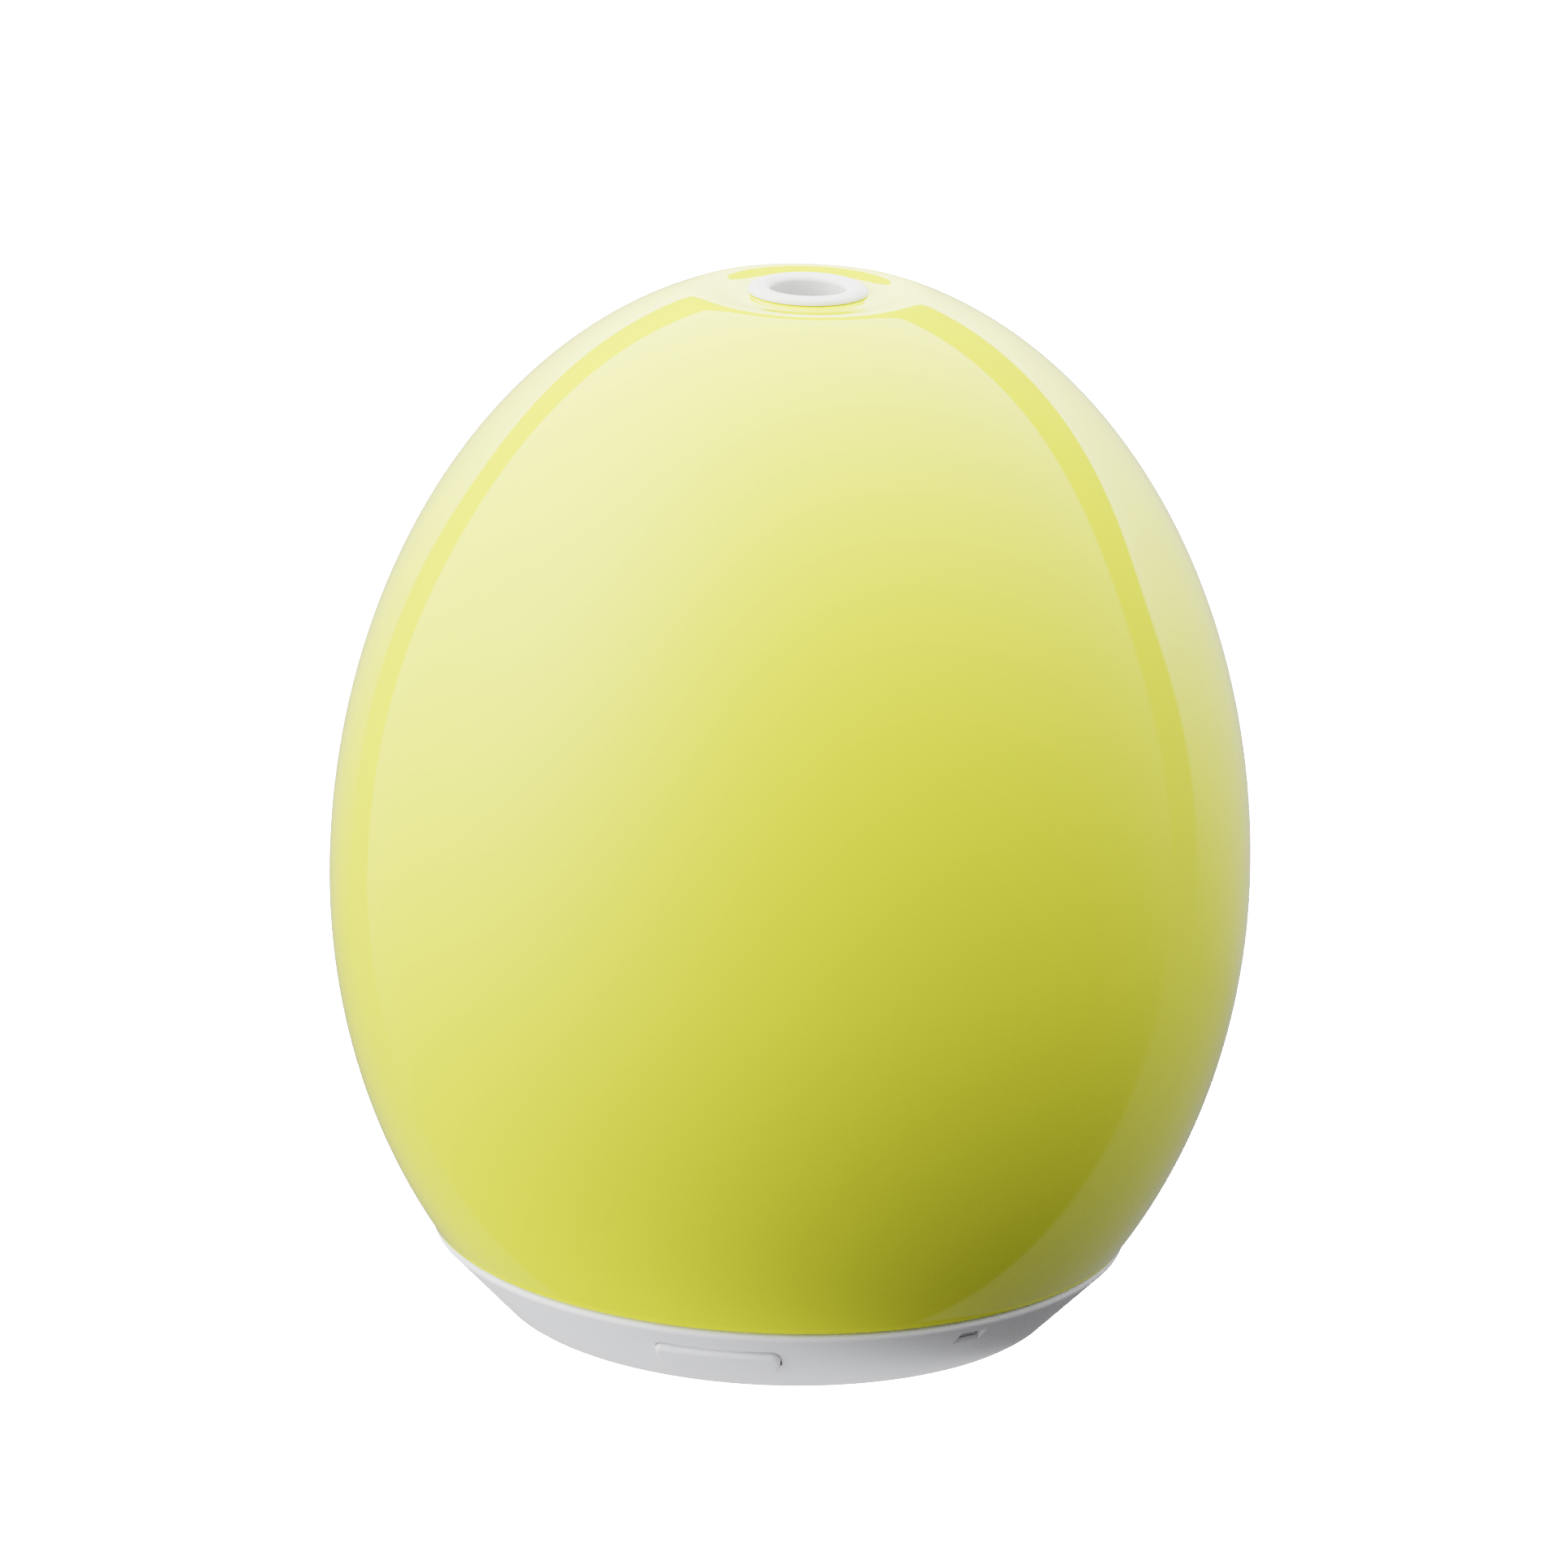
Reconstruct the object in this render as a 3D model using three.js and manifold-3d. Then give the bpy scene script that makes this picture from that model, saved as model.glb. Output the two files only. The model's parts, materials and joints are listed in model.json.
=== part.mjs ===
// An egg-shaped cool mist humidifier: a glossy lift-off cover on a white base, round a water tank with an
// ultrasonic transducer, a fan, a float and the electronics. Millimetres, +Z up, front towards -Y.
// The origin is on the surface that the feet stand on, under the mist outlet.
import * as THREE from "three";
import { mergeVertices } from "three/addons/utils/BufferGeometryUtils.js";
import Module from "manifold-3d";

const wasm = await Module();
wasm.setup();

// ---------------------------------------------------------------- driving dimensions
const EGG_RADIUS = 75;
const EGG_EQUATOR_Z = 74.4;
const EGG_UPPER_HEIGHT = 100;
const EGG_LOWER_HEIGHT = 92.5;
const COVER_WALL = 2.6;
const COVER_EDGE_Z = 14.9;
const COVER_EDGE_ROUND = 0.6;
const COVER_RIM_RADIUS = 54;
const COVER_RIM_TOP_Z = 17.4;
const OUTLET_HOLE_RADIUS = 8.2;

const OUTLET_BORE_RADIUS = 6.1;
const OUTLET_RING_RADIUS = 9.7;
const OUTLET_RING_RISE = 1.1;
const OUTLET_NECK_RADIUS = 7.8;
const OUTLET_NECK_Z = 166;

const BASE_BOTTOM_Z = 1.5;
const BASE_EDGE_Z = 1.9;
const BASE_BOTTOM_RADIUS = 46;
const BASE_CONE_TOP_Z = 13.7;
const BASE_CONE_TOP_RADIUS = 56.6;
const BASE_SLOPE = (BASE_CONE_TOP_RADIUS - BASE_BOTTOM_RADIUS) / (BASE_CONE_TOP_Z - BASE_EDGE_Z);
const LIP_RADIUS = 0.9;
const LIP_CIRCLE_RADIUS = 56.1;
const BASE_WALL = 2.8;
const SHOULDER_Z = 14.6;
const SHOULDER_UNDERSIDE_Z = 12.2;
const UPSTAND_TOP_Z = 18.6;
const UPSTAND_RADIUS = 53.3;
const BASE_HOLE_RADIUS = 50.6;
const CUSHION_INNER_RADIUS = 54.5;
const CUSHION_OUTER_RADIUS = 55.9;
const CUSHION_BOTTOM_Z = 13.7;
const CUSHION_TOP_Z = 14.8;
const CUSHION_FIT = 0.15;

const PLATE_RADIUS = 43.4;
const PLATE_BOTTOM_Z = 1.9;
const PLATE_TOP_Z = 3.9;
const PLATE_SEAT_Z = 4.2;
const INTAKE_RADIUS = 15.5;
const INTAKE_SLOT_PITCH = 5.2;
const INTAKE_SLOT_WIDTH = 2.6;
const FOOT_RADIUS = 5;
const FOOT_CIRCLE_RADIUS = 37;
const FOOT_HEIGHT = 2.2;
const FOOT_ANGLES = [45, 135, 225, 315];
const CASE_SCREW_CIRCLE_RADIUS = 41;
const CASE_SCREW_ANGLES = [60, 120, 240, 300];

const TANK_RADIUS = 50.2;
const SLEEVE_BOTTOM_Z = 13;
const SLEEVE_TOP_Z = 81.8;
const SLEEVE_INNER_RADIUS = 48.2;
const TOWER_BOTTOM_Z = 7.3;
const TOWER_TOP_Z = 22;
const TANK_RIM_Z = 84;
const TANK_SEAL_RADIUS = 46;
const TANK_FLOOR_Z = 44;
const TANK_FLOOR_UNDERSIDE_Z = 41.5;

const LID_RADIUS = 50.2;
const LID_SKIRT_RADIUS = 44.9;
const LID_SKIRT_BOTTOM_Z = 78.4;
const CHIMNEY_RADIUS = 10.6;
const CHIMNEY_BORE_RADIUS = 8.9;
const LID_COLLAR_RADIUS = 12.6;
const LID_COLLAR_TOP_Z = 126;
const CHIMNEY_BOTTOM_Z = 117;
const CHIMNEY_TOP_Z = 168;

const TRANSDUCER = { x: 12, y: 0 };
const TRANSDUCER_EAR_ANGLES = [90, 210, 330];
const TRANSDUCER_EAR_CIRCLE_RADIUS = 19.5;
const TRANSDUCER_SEAT_Z = 34.6;
const BRACKET_BOTTOM_Z = 32.8;
const BRACKET_TOP_Z = 34.3;

const FLOAT = { x: -1, y: 26, radius: 7.5, height: 10, bottom: 44.6 };
const FLOAT_POST_RADIUS = 2;
const FLOAT_POST_TOP_Z = 70;
const REED_SWITCH_Z = 39.8;

const DUCT = { x0: -33.5, x1: -21.5, halfWidth: 11, wall: 1.8, topZ: 77.5 };

const FAN = { x: -22, y: 0, size: 40, bottom: 8, top: 18, bore: 18.6, holePitch: 32 };
const FAN_BLADES = 7;
const HOOD_COLLAR = 3;

const BUTTON_WIDTH = 20;
const BUTTON_HEIGHT = 5.5;
const BUTTON_RISE = 1.35;
const BUTTON_CENTRE_Z = 8.3;
const BUTTON_GAP = 0.35;

const WINDOW_ANGLE = 45;
const WINDOW_WIDTH = 5;
const WINDOW_Z0 = 10.1;
const WINDOW_Z1 = 12;
const WINDOW_FLOOR_RADIUS = 53.2;

const JACK_Z = 7.4;
const JACK_HOLE_RADIUS = 4.4;
const JACK_FACE_Y = 46.6;
const JACK_BORE_RADIUS = 3;

const BOARD_Z0 = 9;
const BOARD_Z1 = 10.6;
const BOARD_SCREWS = [[8, -25], [8, 25], [34, 0]];
const PARTS_Z = BOARD_Z1 + 0.1;
const LEAD_RADIUS = 1.1;

const FINE = 40;
const MEDIUM = 32;
const COARSE = 16;
const SMALL = 10;

// ---------------------------------------------------------------- materials
function plastic(colour, roughness) {
  return new THREE.MeshStandardMaterial({ color: colour, roughness, metalness: 0 });
}

function metal(colour, roughness) {
  return new THREE.MeshStandardMaterial({ color: colour, roughness, metalness: 1 });
}

const materials = {
  coverLime: plastic(0xd2d544, 0.08),
  housingWhite: plastic(0xe4e5e8, 0.45),
  outletWhite: plastic(0xf2f1ec, 0.4),
  tankWhite: plastic(0xeceeee, 0.35),
  silicone: plastic(0xd9dad6, 0.6),
  footRubber: plastic(0x8c8d90, 0.8),
  blackPlastic: plastic(0x1c1c1e, 0.5),
  boardGreen: plastic(0x1f6b3a, 0.5),
  connectorWhite: plastic(0xf0ead8, 0.5),
  lens: plastic(0xf6f7f8, 0.25),
  filterFoam: plastic(0x3a3c40, 0.95),
  floatBlue: plastic(0xdfe6ea, 0.5),
  leadRed: plastic(0xa8262a, 0.5),
  leadBlack: plastic(0x202124, 0.5),
  leadWhite: plastic(0xe6e6e2, 0.5),
  steel: metal(0xb9bcc0, 0.35),
  aluminium: metal(0xc9ccd0, 0.4),
  ceramicDisc: plastic(0xd8cfb6, 0.4),
};

// ---------------------------------------------------------------- shape helpers
const group = new THREE.Group();

// A three.js geometry as a manifold-3d solid, with its shared vertices merged and collapsed faces dropped.
function toSolid(geometry, matrix) {
  const bare = geometry.index ? geometry.toNonIndexed() : geometry.clone();
  bare.deleteAttribute("normal");
  bare.deleteAttribute("uv");
  if (matrix) bare.applyMatrix4(matrix);
  const merged = mergeVertices(bare, 1e-4);
  const index = merged.index.array;
  const kept = [];
  for (let i = 0; i < index.length; i += 3) {
    const [a, b, c] = [index[i], index[i + 1], index[i + 2]];
    if (a !== b && b !== c && a !== c) kept.push(a, b, c);
  }
  const mesh = new wasm.Mesh({
    numProp: 3,
    vertProperties: merged.attributes.position.array,
    triVerts: new Uint32Array(kept),
  });
  return new wasm.Manifold(mesh);
}

function toGeometry(solid) {
  const mesh = solid.getMesh();
  const positions = new THREE.BufferAttribute(new Float32Array(mesh.vertProperties), mesh.numProp);
  const geometry = new THREE.BufferGeometry().setAttribute("position", positions);
  geometry.setIndex(new THREE.BufferAttribute(mesh.triVerts, 1));
  geometry.computeVertexNormals();
  return geometry;
}

function addPart(name, solid, material) {
  const mesh = new THREE.Mesh(toGeometry(solid), material);
  mesh.name = name;
  group.add(mesh);
}

// Turns a closed outline of [radius, height] points about the Z axis.
function revolve(outline, segments) {
  let area = 0;
  outline.forEach(([r0, z0], i) => {
    const [r1, z1] = outline[(i + 1) % outline.length];
    area += r0 * z1 - r1 * z0;
  });
  const ordered = area > 0 ? [...outline] : [...outline].reverse();
  ordered.push(ordered[0]);
  const points = ordered.map(([r, z]) => new THREE.Vector2(r, z));
  const geometry = new THREE.LatheGeometry(points, segments).rotateX(Math.PI / 2);
  return toSolid(geometry);
}

function cylinder(radius, z0, z1, x = 0, y = 0, segments = COARSE) {
  const geometry = new THREE.CylinderGeometry(radius, radius, z1 - z0, segments).rotateX(Math.PI / 2);
  return toSolid(geometry.translate(x, y, (z0 + z1) / 2));
}

function box(x0, x1, y0, y1, z0, z1) {
  const geometry = new THREE.BoxGeometry(x1 - x0, y1 - y0, z1 - z0);
  return toSolid(geometry.translate((x0 + x1) / 2, (y0 + y1) / 2, (z0 + z1) / 2));
}

// A flat outline in X and Y, raised from z0 to z1.
function slab(outline, z0, z1) {
  const shape = new THREE.Shape(outline.map(([x, y]) => new THREE.Vector2(x, y)));
  const geometry = new THREE.ExtrudeGeometry(shape, { depth: z1 - z0, bevelEnabled: false });
  return toSolid(geometry.translate(0, 0, z0));
}

function roundedRectangle(width, height, radius, steps = 4) {
  const outline = [];
  const corners = [[1, 1, 0], [-1, 1, 90], [-1, -1, 180], [1, -1, 270]];
  for (const [sx, sy, start] of corners) {
    for (let i = 0; i <= steps; i++) {
      const a = THREE.MathUtils.degToRad(start + (90 * i) / steps);
      const x = sx * (width / 2 - radius) + radius * Math.cos(a);
      const y = sy * (height / 2 - radius) + radius * Math.sin(a);
      outline.push([x, y]);
    }
  }
  return outline;
}

function polar(radius, degrees) {
  const a = THREE.MathUtils.degToRad(degrees);
  return [radius * Math.cos(a), radius * Math.sin(a)];
}

// A solid built facing the front, swung round the Z axis. Positive degrees go from the front towards +X.
function swing(solid, degrees) {
  return solid.rotate([0, 0, degrees]);
}

function arcPoints(centreR, centreZ, radius, startDegrees, endDegrees, steps) {
  const points = [];
  for (let i = 0; i <= steps; i++) {
    const a = THREE.MathUtils.degToRad(startDegrees + ((endDegrees - startDegrees) * i) / steps);
    points.push([centreR + radius * Math.cos(a), centreZ + radius * Math.sin(a)]);
  }
  return points;
}

function tube(points, radius, stepsPerPoint = 4) {
  const curve = new THREE.CatmullRomCurve3(points.map((p) => new THREE.Vector3(...p)));
  const section = new THREE.Shape(
    Array.from({ length: 8 }, (_, i) => new THREE.Vector2(...polar(radius, 45 * i))),
  );
  const steps = (points.length - 1) * stepsPerPoint;
  return toSolid(new THREE.ExtrudeGeometry(section, { steps, extrudePath: curve, bevelEnabled: false }));
}

// ---------------------------------------------------------------- outer cover and mist outlet
// Height of the upper egg surface at a radius, inset from the outside by a wall.
function eggTopZ(radius, inset) {
  const share = radius / (EGG_RADIUS - inset);
  return EGG_EQUATOR_Z + (EGG_UPPER_HEIGHT - inset) * Math.sqrt(1 - share * share);
}

// The egg's outline from a height near its lower edge to the outlet hole: two half ellipses with one equator.
function eggOutline(inset, fromZ, lowerSteps, upperSteps) {
  const radius = EGG_RADIUS - inset;
  const lower = EGG_LOWER_HEIGHT - inset;
  const upper = EGG_UPPER_HEIGHT - inset;
  const start = -Math.asin((EGG_EQUATOR_Z - fromZ) / lower);
  const end = Math.acos(OUTLET_HOLE_RADIUS / radius);
  const points = [];
  for (let i = 0; i < lowerSteps; i++) {
    const a = start * (1 - i / lowerSteps);
    points.push([radius * Math.cos(a), EGG_EQUATOR_Z + lower * Math.sin(a)]);
  }
  for (let i = 0; i <= upperSteps; i++) {
    const a = (end * i) / upperSteps;
    points.push([radius * Math.cos(a), EGG_EQUATOR_Z + upper * Math.sin(a)]);
  }
  return points;
}

function outerCover() {
  const outside = eggOutline(0, COVER_EDGE_Z + COVER_EDGE_ROUND, 4, 9);
  const inside = eggOutline(COVER_WALL, COVER_RIM_TOP_Z + 2, 3, 7).reverse();
  const rim = [
    [COVER_RIM_RADIUS, COVER_RIM_TOP_Z],
    [COVER_RIM_RADIUS, COVER_EDGE_Z + 0.3],
    [COVER_RIM_RADIUS + 0.3, COVER_EDGE_Z],
    [outside[0][0] - COVER_EDGE_ROUND, COVER_EDGE_Z],
  ];
  return revolve([...outside, ...inside, ...rim], FINE);
}

// The ring's flange lies on the cover and swells towards its bore; a snap bead under the cover keeps it in.
function mistOutletRing() {
  const seatZ = eggTopZ(OUTLET_RING_RADIUS, 0) + 0.14;
  const underCoverZ = eggTopZ(OUTLET_HOLE_RADIUS, COVER_WALL);
  const crestZ = seatZ + OUTLET_RING_RISE;
  return revolve(
    [
      [OUTLET_BORE_RADIUS, OUTLET_NECK_Z],
      [OUTLET_NECK_RADIUS - 0.3, OUTLET_NECK_Z],
      [OUTLET_NECK_RADIUS, underCoverZ - 2.2],
      [OUTLET_NECK_RADIUS + 0.7, underCoverZ - 0.8],
      [OUTLET_NECK_RADIUS, underCoverZ - 0.3],
      [OUTLET_NECK_RADIUS, seatZ + 0.25],
      [OUTLET_RING_RADIUS, seatZ],
      [OUTLET_RING_RADIUS, seatZ + 0.2],
      [OUTLET_RING_RADIUS - 0.7, crestZ - 0.4],
      [OUTLET_RING_RADIUS - 1.8, crestZ - 0.08],
      [OUTLET_RING_RADIUS - 2.6, crestZ],
      [OUTLET_BORE_RADIUS + 0.35, crestZ - 0.25],
      [OUTLET_BORE_RADIUS, crestZ - 0.8],
    ],
    MEDIUM,
  );
}

function coverCushion() {
  return revolve(
    [
      [CUSHION_INNER_RADIUS, CUSHION_BOTTOM_Z],
      [CUSHION_OUTER_RADIUS, CUSHION_BOTTOM_Z],
      [CUSHION_OUTER_RADIUS, CUSHION_TOP_Z],
      [CUSHION_INNER_RADIUS, CUSHION_TOP_Z],
    ],
    FINE,
  );
}

addPart("outer_cover", outerCover(), materials.coverLime);
addPart("mist_outlet_ring", mistOutletRing(), materials.outletWhite);
addPart("cover_cushion_ring", coverCushion(), materials.silicone);

// ---------------------------------------------------------------- base ring
function baseRadius(z) {
  return BASE_BOTTOM_RADIUS + (z - BASE_EDGE_Z) * BASE_SLOPE;
}

// Local frame of the button: X along the base, Y up its slope and Z out of it, at the button's centre.
const slopeLength = Math.hypot(1, BASE_SLOPE);
const slopeUp = new THREE.Vector3(0, -BASE_SLOPE / slopeLength, 1 / slopeLength);
const slopeOut = new THREE.Vector3(0, -1 / slopeLength, -BASE_SLOPE / slopeLength);
const buttonFrame = new THREE.Matrix4()
  .makeBasis(new THREE.Vector3(1, 0, 0), slopeUp, slopeOut)
  .setPosition(0, -baseRadius(BUTTON_CENTRE_Z), BUTTON_CENTRE_Z);

// A flat outline raised from one depth to another in the button's frame.
function buttonSlab(outline, from, to) {
  const shape = new THREE.Shape(outline.map(([x, y]) => new THREE.Vector2(x, y)));
  const geometry = new THREE.ExtrudeGeometry(shape, { depth: to - from, bevelEnabled: false });
  return toSolid(geometry.translate(0, 0, from), buttonFrame);
}

function rectangle(x0, x1, y0, y1) {
  return [[x0, y0], [x1, y0], [x1, y1], [x0, y1]];
}

function horizontalRod(radius, x, z, y0, y1, segments = COARSE) {
  const geometry = new THREE.CylinderGeometry(radius, radius, y1 - y0, segments);
  return toSolid(geometry.translate(x, (y0 + y1) / 2, z));
}

function baseRing() {
  const inner = (z) => baseRadius(z) - BASE_WALL;
  const lip = arcPoints(LIP_CIRCLE_RADIUS, SHOULDER_Z - LIP_RADIUS, LIP_RADIUS, -25, 90, 4);
  const channelFloorZ = CUSHION_BOTTOM_Z - 0.1;
  let ring = revolve(
    [
      [PLATE_RADIUS + 0.3, BASE_BOTTOM_Z],
      [BASE_BOTTOM_RADIUS - 0.6, BASE_BOTTOM_Z],
      [BASE_BOTTOM_RADIUS, BASE_EDGE_Z],
      ...lip,
      [CUSHION_OUTER_RADIUS + CUSHION_FIT, SHOULDER_Z],
      [CUSHION_OUTER_RADIUS + CUSHION_FIT, channelFloorZ],
      [CUSHION_INNER_RADIUS - CUSHION_FIT, channelFloorZ],
      [CUSHION_INNER_RADIUS - CUSHION_FIT, SHOULDER_Z],
      [UPSTAND_RADIUS, SHOULDER_Z],
      [UPSTAND_RADIUS, UPSTAND_TOP_Z - 0.6],
      [UPSTAND_RADIUS - 0.6, UPSTAND_TOP_Z],
      [BASE_HOLE_RADIUS + 0.5, UPSTAND_TOP_Z],
      [BASE_HOLE_RADIUS, UPSTAND_TOP_Z - 0.5],
      [BASE_HOLE_RADIUS, SHOULDER_UNDERSIDE_Z],
      [inner(SHOULDER_UNDERSIDE_Z), SHOULDER_UNDERSIDE_Z],
      [inner(PLATE_SEAT_Z), PLATE_SEAT_Z],
      [PLATE_RADIUS + 0.3, PLATE_SEAT_Z],
    ],
    FINE,
  );
  for (const angle of CASE_SCREW_ANGLES) {
    const [x, y] = polar(CASE_SCREW_CIRCLE_RADIUS, angle);
    const bridge = box(0, 6.5, -3, 3, PLATE_SEAT_Z, 7).rotate([0, 0, angle]).translate([x, y, 0]);
    const boss = cylinder(4.4, PLATE_SEAT_Z, 7, x, y).add(bridge);
    ring = ring.add(boss).subtract(cylinder(1.9, 4, 8, x, y, SMALL));
  }
  const opening = roundedRectangle(BUTTON_WIDTH + 2 * BUTTON_GAP, BUTTON_HEIGHT + 2 * BUTTON_GAP, 1.8);
  ring = ring.subtract(buttonSlab(opening, -5, 4));
  ring = ring.subtract(buttonSlab(rectangle(-12.2, 12.2, -4.6, 2.5), -4.8, -2.2));
  const boardSlot = buttonSlab(rectangle(-9.8, 9.8, -6, 6), -12.8, -11);
  for (const side of [-1, 1]) {
    const web = box(side * 9.6 - 1, side * 9.6 + 1, -51, -40.5, 14.2, 18.4);
    ring = ring.add(web.subtract(boardSlot));
  }
  const half = WINDOW_WIDTH / 2;
  const recess = box(-half, half, -60, -WINDOW_FLOOR_RADIUS, WINDOW_Z0 - 1, WINDOW_Z1);
  const windowHole = box(-half + 0.2, half - 0.2, -60, -48, WINDOW_Z0 + 0.15, WINDOW_Z1 - 0.15);
  ring = ring.subtract(swing(recess, WINDOW_ANGLE)).subtract(swing(windowHole, WINDOW_ANGLE));
  return ring.subtract(horizontalRod(JACK_HOLE_RADIUS, 0, JACK_Z, 44, 60));
}

addPart("base_ring", baseRing(), materials.housingWhite);

// ---------------------------------------------------------------- bottom plate, feet and case screws
function bottomPlate() {
  let plate = cylinder(PLATE_RADIUS, PLATE_BOTTOM_Z, PLATE_TOP_Z, 0, 0, FINE);
  for (let i = -2; i <= 2; i++) {
    const offset = INTAKE_SLOT_PITCH * i;
    const reach = Math.sqrt(INTAKE_RADIUS ** 2 - offset ** 2);
    const [y0, y1] = [FAN.y + offset - INTAKE_SLOT_WIDTH / 2, FAN.y + offset + INTAKE_SLOT_WIDTH / 2];
    plate = plate.subtract(box(FAN.x - reach, FAN.x + reach, y0, y1, 1, 5));
  }
  for (const angle of FOOT_ANGLES) {
    const [x, y] = polar(FOOT_CIRCLE_RADIUS, angle);
    plate = plate.subtract(cylinder(FOOT_RADIUS + 0.3, 1, FOOT_HEIGHT + 0.3, x, y));
  }
  for (const angle of CASE_SCREW_ANGLES) {
    const [x, y] = polar(CASE_SCREW_CIRCLE_RADIUS - 0.6, angle);
    const [sx, sy] = polar(CASE_SCREW_CIRCLE_RADIUS, angle);
    plate = plate.subtract(cylinder(1.6, 1, 5, sx, sy, SMALL));
    plate = plate.subtract(cylinder(3.2, 1, 3.1, x, y));
  }
  for (const [x, y] of fanCorners()) plate = plate.add(post(2.8, 1, x, y, FAN.bottom - 0.2));
  for (const [x, y] of BOARD_SCREWS) plate = plate.add(post(2.8, 1, x, y, BOARD_Z0 - 0.1));
  const lampRib = box(-4, 4, -43, -41.4, PLATE_TOP_Z - 0.5, 9);
  const lampShelf = box(-4, 4, -45, -41.4, 7.6, 9);
  plate = plate.add(swing(lampRib.add(lampShelf), WINDOW_ANGLE));
  return plate.intersect(cylinder(PLATE_RADIUS, 0, 7.5, 0, 0, FINE).add(cylinder(46, 7.4, 30, 0, 0, FINE)));
}

function post(radius, hole, x, y, top) {
  return cylinder(radius, PLATE_TOP_Z - 0.5, top, x, y, SMALL + 2).subtract(
    cylinder(hole, PLATE_TOP_Z + 0.5, top + 1, x, y, SMALL),
  );
}

function fanCorners() {
  const reach = FAN.holePitch / 2;
  return [[-1, -1], [1, -1], [1, 1], [-1, 1]].map(([sx, sy]) => [FAN.x + sx * reach, FAN.y + sy * reach]);
}

// A pan head screw with a cross slot, its head at headZ. A positive length points up and a negative one down.
function screw(x, y, headZ, headRadius, headHeight, shankRadius, length) {
  const up = Math.sign(length);
  const neckZ = headZ + up * headHeight;
  const tipZ = neckZ + length;
  const span = (a, b) => [Math.min(a, b), Math.max(a, b)];
  const head = cylinder(headRadius, ...span(headZ, neckZ), x, y, 12);
  const shank = cylinder(shankRadius, ...span(neckZ - up * headHeight * 0.5, tipZ), x, y, 8);
  const [slot0, slot1] = span(headZ - up * 0.01, headZ + up * 0.5);
  const alongX = box(x - 1.3, x + 1.3, y - 0.3, y + 0.3, slot0, slot1);
  const alongY = box(x - 0.3, x + 0.3, y - 1.3, y + 1.3, slot0, slot1);
  return head.add(shank).subtract(alongX).subtract(alongY);
}

addPart("bottom_plate", bottomPlate(), materials.housingWhite);
FOOT_ANGLES.forEach((angle, i) => {
  const [x, y] = polar(FOOT_CIRCLE_RADIUS, angle);
  addPart(`foot_${i + 1}`, cylinder(FOOT_RADIUS, 0, FOOT_HEIGHT, x, y, 20), materials.footRubber);
});
CASE_SCREW_ANGLES.forEach((angle, i) => {
  const [x, y] = polar(CASE_SCREW_CIRCLE_RADIUS, angle);
  addPart(`case_screw_${i + 1}`, screw(x, y, 2, 2.4, 1, 1.1, 15), materials.steel);
});

// ---------------------------------------------------------------- water tank
// The sleeve that carries the tank, with the towers that the case screws go into and a notch for the button.
function tankSleeve() {
  let sleeve = revolve(
    [
      [TANK_RADIUS, SLEEVE_BOTTOM_Z],
      [TANK_RADIUS, SLEEVE_TOP_Z],
      [SLEEVE_INNER_RADIUS, SLEEVE_TOP_Z],
      [SLEEVE_INNER_RADIUS, SLEEVE_BOTTOM_Z],
    ],
    FINE,
  );
  for (const angle of CASE_SCREW_ANGLES) {
    const [x, y] = polar(CASE_SCREW_CIRCLE_RADIUS, angle);
    const web = box(CASE_SCREW_CIRCLE_RADIUS, 49, -1.2, 1.2, SLEEVE_BOTTOM_Z, TOWER_TOP_Z);
    sleeve = sleeve.add(cylinder(3.5, TOWER_BOTTOM_Z, TOWER_TOP_Z, x, y, 12)).add(web.rotate([0, 0, angle]));
    sleeve = sleeve.subtract(cylinder(1.3, TOWER_BOTTOM_Z - 1, 20, x, y, 8));
  }
  return sleeve.subtract(box(-12.6, 12.6, -52, -46, 10, 19));
}

function waterTank() {
  let tank = revolve(
    [
      [TANK_RADIUS, SLEEVE_TOP_Z + 0.3],
      [TANK_RADIUS, TANK_RIM_Z - 0.8],
      [TANK_RADIUS - 0.8, TANK_RIM_Z],
      [TANK_SEAL_RADIUS + 0.4, TANK_RIM_Z],
      [TANK_SEAL_RADIUS, TANK_RIM_Z - 0.5],
      [TANK_SEAL_RADIUS, 77.5],
      [44.5, 60],
      [42.6, 52],
      [40.2, 47],
      [36, TANK_FLOOR_Z],
      [0, TANK_FLOOR_Z],
      [0, TANK_FLOOR_UNDERSIDE_Z],
      [36.6, TANK_FLOOR_UNDERSIDE_Z],
      [42, 45.2],
      [44.5, 51.5],
      [46.4, 60],
      [47.8, 77.5],
      [47.8, SLEEVE_TOP_Z + 0.3],
    ],
    FINE,
  );
  const { x, y } = TRANSDUCER;
  tank = tank.add(transducerSeat()).add(floatPost());
  tank = tank.subtract(cylinder(13.6, 40.4, 50, x, y, 24)).subtract(cylinder(8.4, 30, 50, x, y, 24));
  tank = tank.subtract(cylinder(12.5, 30, 37.8, x, y, 24));
  for (const angle of TRANSDUCER_EAR_ANGLES) {
    const [ex, ey] = polar(TRANSDUCER_EAR_CIRCLE_RADIUS, angle);
    tank = tank.subtract(cylinder(1.1, 30, 40, x + ex, y + ey, 8));
  }
  return tank.subtract(ductOutline(0.3, TANK_FLOOR_UNDERSIDE_Z - 2, TANK_FLOOR_Z + 2));
}

function transducerSeat() {
  const { x, y } = TRANSDUCER;
  let seat = cylinder(16, TRANSDUCER_SEAT_Z, 43, x, y, 24);
  for (const angle of TRANSDUCER_EAR_ANGLES) {
    const [ex, ey] = polar(TRANSDUCER_EAR_CIRCLE_RADIUS, angle);
    seat = seat.add(cylinder(3.3, TRANSDUCER_SEAT_Z, 43, x + ex, y + ey, 12));
  }
  return seat;
}

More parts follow.
